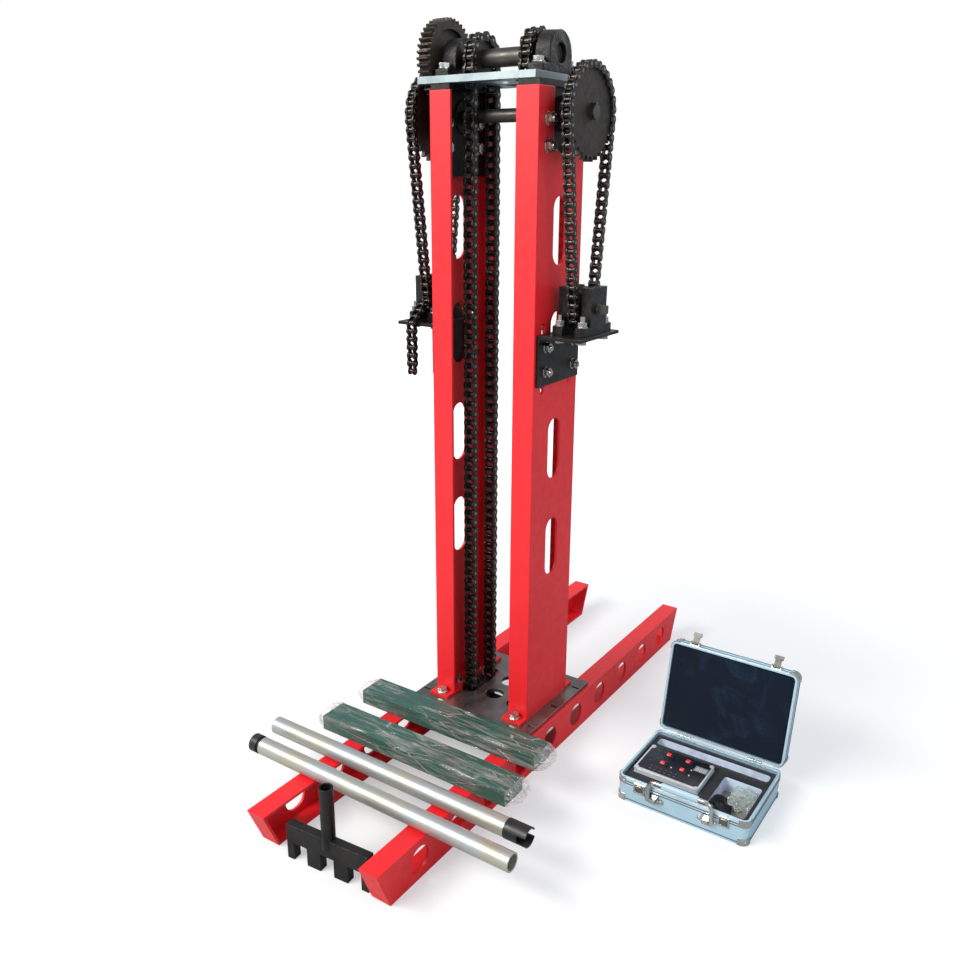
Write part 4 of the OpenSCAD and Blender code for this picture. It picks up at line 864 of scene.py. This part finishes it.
def cornerRivets(bm, z):
    # three domes on each corner cap: front or back, round the corner, and side
    out, turn = hardware["cap"], caseShape["corner"]*(1 - sqrt(0.5)) - hardware["cap"]*sqrt(0.5)
    along = hardware["rivetIn"]
    for x, sx in ((caseLow.x, 1), (caseHigh.x, -1)):
        for y, sy in ((caseLow.y, 1), (caseHigh.y, -1)):
            for dx, dy, facing in ((along, -out, (0, -sy, 0)), (turn, turn, (-sx, -sy, 0)),
                                   (-out, along, (-sx, 0, 0))):
                addDome(bm, (x + sx*dx, y + sy*dy, z), hardware["rivet"], hardware["rivetTall"], facing)


def addCatch(bm, x):
    # raised frame, darker field and the lip that the tongue snaps over
    front, base = caseLow.y - hardware["plate"], caseHigh.z - hardware["catchLow"]
    half, tall, inside = hardware["catchWide"]/2, hardware["catchTall"], hardware["fieldIn"]
    for low, high in frameStrips((x - half, base), (x + half, base + tall), hardware["catchRim"]):
        addBox(bm, (low[0], front - hardware["catchProud"], low[1]), (high[0], front, high[1]), 0,
               hardware["catchEdge"])
    addBox(bm, (x - half + inside, front - hardware["fieldProud"], base + inside),
           (x + half - inside, front, base + tall - inside), 1)
    addBox(bm, (x - hardware["lipHalf"], front - hardware["lipProud"], base + hardware["lipLow"]),
           (x + hardware["lipHalf"], front, base + hardware["lipHigh"]), 0, hardware["lipEdge"])


def addLobe(bm, x):
    place = Vector((x, caseLow.y, caseLow.z + hardware["mountZ"]))
    end = place - Vector((0, hardware["lobeTall"], 0))
    addRod(bm, place, end, hardware["lobe"], 24, 0, hardware["lobe"] - hardware["lobeTaper"])
    addDome(bm, end, hardware["lobeDome"], hardware["lobeDomeTall"], (0, -1, 0))


def addHardware():
    bm = bmesh.new()
    for z in (caseLow.z + hardware["capHeight"]/2, caseHigh.z - hardware["capHeight"]/2):
        cornerRivets(bm, z)
    for x in (caseLow.x + hardware["catch"], caseHigh.x - hardware["catch"]):
        addCatch(bm, x)
    for x in (caseLow.x + hardware["mount"], caseHigh.x - hardware["mount"]):
        for side in (-1, 1):
            addLobe(bm, x + side*hardware["lobeOff"])
    piece = finishPiece(bm, "caseHardware", "frame", ["caseChrome", "catchSteel"], 40)
    bm = bmesh.new()
    for z in (lidSeat + hardware["lidCap"]/2, lidSeat + caseShape["lid"] - hardware["lidCap"]/2):
        cornerRivets(bm, z)
    bmesh.ops.transform(bm, matrix=lidTurn, verts=bm.verts)
    piece = finishPiece(bm, "lidRivets", "lid", ["caseChrome"], 40)


handle = {
    "arm": 3.8*mm, "bend": 15*mm, "bendSteps": 8, "lean": -1, "tall": 40*mm, "side": 3*mm, "foot": 3*mm,
    "reach": 18*mm, "pin": 2*mm, "pinOut": 1*mm, "pinIn": 15*mm, "gripIn": 13*mm, "gripDeep": 4.8*mm,
    "gripTall": 5.6*mm, "gripEdge": 3.6*mm,
}


def addHandle():
    # two bent arms and a flat rounded grip, in place of the plain packed bail
    low, high = (Vector(corner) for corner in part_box("case_handle"))
    pivot = jointPlace("handle_hinge")
    bend, steps, top = handle["bend"], handle["bendSteps"], pivot.z + handle["tall"]
    bm = bmesh.new()
    for x, way in ((low.x + handle["side"], 1), (high.x - handle["side"], -1)):
        route = [Vector((x, pivot.y, pivot.z - handle["foot"])), Vector((x, pivot.y, top - bend))]
        route += [Vector((x + way*bend*(1 - cos(a)), pivot.y, top - bend + bend*sin(a)))
                  for a in (k*pi/2/steps for k in range(1, steps + 1))]
        route.append(Vector((x + way*(bend + handle["reach"]), pivot.y, top)))
        stamp(bm, sweepMesh(route, handle["arm"], detail=5), Matrix())
        addRod(bm, (x - way*handle["pinOut"], pivot.y, pivot.z), (x + way*handle["pinIn"], pivot.y, pivot.z),
               handle["pin"])
    inset = handle["gripIn"] + bend
    addBox(bm, (low.x + inset, pivot.y - handle["gripDeep"], top - handle["gripTall"]),
           (high.x - inset, pivot.y + handle["gripDeep"], top + handle["gripTall"]), 1, handle["gripEdge"], 4)
    lean = Matrix.Rotation(radians(handle["lean"]), 4, "X")
    bmesh.ops.transform(bm, matrix=Matrix.Translation(pivot) @ lean @ Matrix.Translation(-pivot),
                        verts=bm.verts)
    piece = finishPiece(bm, "bentHandle", "handle", ["caseChrome", "gripGrey"], 40)
    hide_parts("case_handle")


print("case hardware")
addHardware()
addHandle()


# lead in the pocket, one tube that spirals in, climbs and spirals out

lead = {"radius": 20*mm, "step": 4.6*mm, "turns": 3, "perTurn": 24, "thick": 3.6*mm, "tail": 9*mm,
        "plug": 6*mm, "lean": radians(30), "pocketX": 170*mm, "y": 54*mm, "pocketDeep": 30*mm, "gap": 0.3*mm}


def leadPlace():
    # the coil leans with its left side on the pocket's wall
    lean, plug = lead["lean"], lead["plug"]/2
    x = (lead["pocketX"] + lead["gap"] + lead["radius"]*cos(lean) + plug
         - (lead["thick"]/2 + lead["step"])*sin(lean))
    z = foamTop - lead["pocketDeep"] + lead["gap"] + lead["radius"]*sin(lean) + plug*(1 - cos(lean))
    return Matrix.Translation((caseLow.x + x, caseLow.y + lead["y"], z)) @ Matrix.Rotation(lean, 4, "Y")


def leadRoute():
    inner = lead["turns"]*lead["perTurn"]
    last = 2*inner + lead["perTurn"]//2
    low, high = lead["thick"]/2, lead["thick"]/2 + lead["step"]

    def at(i):
        angle = 2*pi*i/lead["perTurn"]
        if i < inner:
            radius = lead["radius"] - lead["step"]*i/lead["perTurn"]
        elif i < inner + lead["perTurn"]//2:
            radius = lead["radius"] - lead["step"]*lead["turns"]
        else:
            radius = lead["radius"] - lead["step"]*(last - i)/lead["perTurn"]
        share = min(1.0, max(0.0, (i - inner)/(lead["perTurn"]/2)))
        return Vector((radius*cos(angle), radius*sin(angle), low + (high - low)*share))

    points = [Vector((lead["radius"], -y, low)) for y in (lead["tail"], lead["tail"]/2)]
    points += [at(i) for i in range(last + 1)]
    points += [Vector((-lead["radius"], -y, high)) for y in (lead["tail"]/2, lead["tail"])]
    place = leadPlace()
    return [place @ point for point in points]


def addLead():
    points = leadRoute()
    piece = routeCurve("coiledLead", points, lead["thick"]/2)
    piece.data.materials.append(skins["leadBlack"])
    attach(piece, "frame")
    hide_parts("lead")


print("lead")
addLead()


# crumpled clear bag, each fold as its scale, shift and depth

bag = {
    "front": 8*mm, "rise": 9*mm, "size": 1.12, "boxy": 0.6,
    "folds": ((1.9, 4.1, 0.55), (4.4, 0, 0.2), (10.0, 0, 0.08), (23.0, 0, 0.03)), "neck": 0.3,
    "neckWay": (-0.3, -0.75, 0.6),
}


def addBag():
    low, high = (Vector(corner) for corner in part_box("parts_bag"))
    low, high = low - Vector((0, bag["front"], 0)), high + Vector((0, 0, bag["rise"]))
    middle, half = (low + high)/2, (high - low)/2
    bm = bmesh.new()
    bmesh.ops.create_icosphere(bm, subdivisions=6, radius=1.0)
    for vert in bm.verts:
        way = vert.co.normalized()
        square = 1/max(abs(way.x), abs(way.y), abs(way.z))**bag["boxy"]
        folds = sum(abs(noise.noise(way*scale + Vector((shift, 0, 0))))*depth
                    for scale, shift, depth in bag["folds"])
        # a gathered neck that points up and forward
        neck = bag["neck"]*max(0.0, way.dot(Vector(bag["neckWay"])))**6
        reach = square*(bag["size"] + neck - folds)
        place = Vector((way.x*half.x, way.y*half.y, way.z*half.z))*reach
        vert.co = middle + Vector([max(-half[i], min(half[i], place[i])) for i in range(3)])
    piece = finishPiece(bm, "clearBag", "frame", ["bagFilm"], 60)
    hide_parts("parts_bag")


print("bag")
addBag()


# instrument panel

panel = {
    "inset": 2.6*mm, "deep": 2.6*mm, "edge": 0.3*mm, "thick": 1.2*mm, "under": 1*mm,
    "band": 7*mm, "bandGap": 0.4*mm, "bandRise": 0.4*mm, "bandEdge": 0.8*mm,
    "rail": 3.2*mm, "railIn": 4*mm, "railRise": 0.6*mm, "railEdge": 0.6*mm,
    "post": 4.6*mm, "postRise": 1.2*mm, "screw": 1.8*mm, "screwTall": 0.6*mm,
    "display": (100*mm, 55*mm), "displaySize": (27*mm, 17*mm, 1.1*mm), "displaySink": 0.2*mm, "digits": 3,
    "digitStart": 4*mm, "digitStep": 7.4*mm, "digitBase": 0.8*mm, "digitTall": 0.25*mm,
    "segments": ((0, 2, 4, 0.8), (0, 7.2, 4, 0.8), (0, 12.4, 4, 0.8), (-0.5, 3, 0.8, 4), (3.7, 3, 0.8, 4),
                 (-0.5, 8.2, 0.8, 4), (3.7, 8.2, 0.8, 4)),
    "markSink": 0.05*mm, "markTall": 0.2*mm, "lights": ((52, 38), (62, 38), (98, 52), (100, 34)),
    "light": 1.2*mm,
    # rows of small flat marks in millimetres: first corner, step, size and count
    "rows": (((26, 14), (10, 0), (3.2, 1.2), 6), ((26, 24), (10, 0), (3.2, 0.7), 6),
             ((16, 40), (5, 6), (2.4, 0.7), 4)),
}


def addPanel():
    low, high = (Vector(corner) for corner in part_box("meter_box"))
    under, face = high.z - panel["under"], high.z + panel["thick"]
    plate, led, white, rail, corner = range(5)
    bm = bmesh.new()
    # dark plate, pale band in front, bright rails left and right, pale posts at the corners
    addBox(bm, (low.x + panel["inset"], low.y + panel["band"], high.z - panel["deep"]),
           (high.x - panel["inset"], high.y, face), plate, panel["edge"])
    addBox(bm, (low.x, low.y, under),
           (high.x, low.y + panel["band"] - panel["bandGap"], face + panel["bandRise"]), corner,
           panel["bandEdge"])
    for x in (low.x, high.x - panel["rail"]):
        addBox(bm, (x, low.y + panel["railIn"], under),
               (x + panel["rail"], high.y - panel["railIn"], face + panel["railRise"]), rail,
               panel["railEdge"])
    for x in (low.x + panel["post"], high.x - panel["post"]):
        for y in (low.y + panel["post"], high.y - panel["post"]):
            end = (x, y, face + panel["postRise"])
            addRod(bm, (x, y, under), end, panel["post"], 28, corner)
            addDome(bm, end, panel["screw"], panel["screwTall"], (0, 0, 1), rail)
    # display window with its digits
    window = Vector((low.x, low.y, face)) + Vector((*panel["display"], 0))
    start = window - Vector((0, 0, panel["displaySink"]))
    addBox(bm, start, start + Vector(panel["displaySize"]), led, panel["edge"])
    for digit in range(panel["digits"]):
        place = window + Vector((panel["digitStart"] + digit*panel["digitStep"], 0, panel["digitBase"]))
        for dx, dy, wide, deep in panel["segments"]:
            start = place + Vector((dx*mm, dy*mm, 0))
            addBox(bm, start, start + Vector((wide*mm, deep*mm, panel["digitTall"])), white)
    for first, step, size, count in panel["rows"]:
        for k in range(count):
            start = Vector((low.x + (first[0] + k*step[0])*mm, low.y + (first[1] + k*step[1])*mm,
                            face - panel["markSink"]))
            addBox(bm, start, start + Vector((size[0]*mm, size[1]*mm, panel["markTall"])), led)
    for x, y in panel["lights"]:
        place = Vector((low.x + x*mm, low.y + y*mm, face))
        addRod(bm, place, place + Vector((0, 0, panel["light"])), panel["light"], 12, white)
    piece = finishPiece(bm, "meterPanel", "frame", ["panelBlack", "ledFace", "markWhite", "meterFrame",
                                                    "meterCorner"], 30)
    addButtons(face)


button = {
    "rim": 1.6*mm, "clear": 0.3*mm, "sink": 0.1*mm, "rimTall": 0.9*mm, "capEdge": 1.1*mm, "blockNear": 2.2*mm,
    "blockFar": 7*mm, "blockShift": 3*mm, "blockTall": 2.8*mm, "blockEdge": 0.5*mm,
}


def addButtons(face):
    # a round-edged red cap on each key, in a black bezel with a black block beside it
    bm = bmesh.new()
    base, out = face - button["sink"], button["rim"] + button["clear"]
    for key in "abcd":
        a, b = (Vector(corner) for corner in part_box("button_" + key))
        for low, high in frameStrips((a.x - out, a.y - out), (b.x + out, b.y + out), button["rim"]):
            addBox(bm, (*low, base), (*high, face + button["rimTall"]))
        addBox(bm, (b.x + button["blockNear"], a.y - button["blockShift"], base),
               (b.x + button["blockFar"], b.y - button["blockShift"], face + button["blockTall"]), 0,
               button["blockEdge"])
        cap = bmesh.new()
        addBox(cap, a, b, 0, button["capEdge"], 3)
        piece = finishPiece(cap, "cap_" + key, "key_" + key, ["buttonRed"], 40)
        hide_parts("button_" + key)
    piece = finishPiece(bm, "buttonBezels", "frame", ["blackPlastic"], 30)


print("instrument panel")
addPanel()
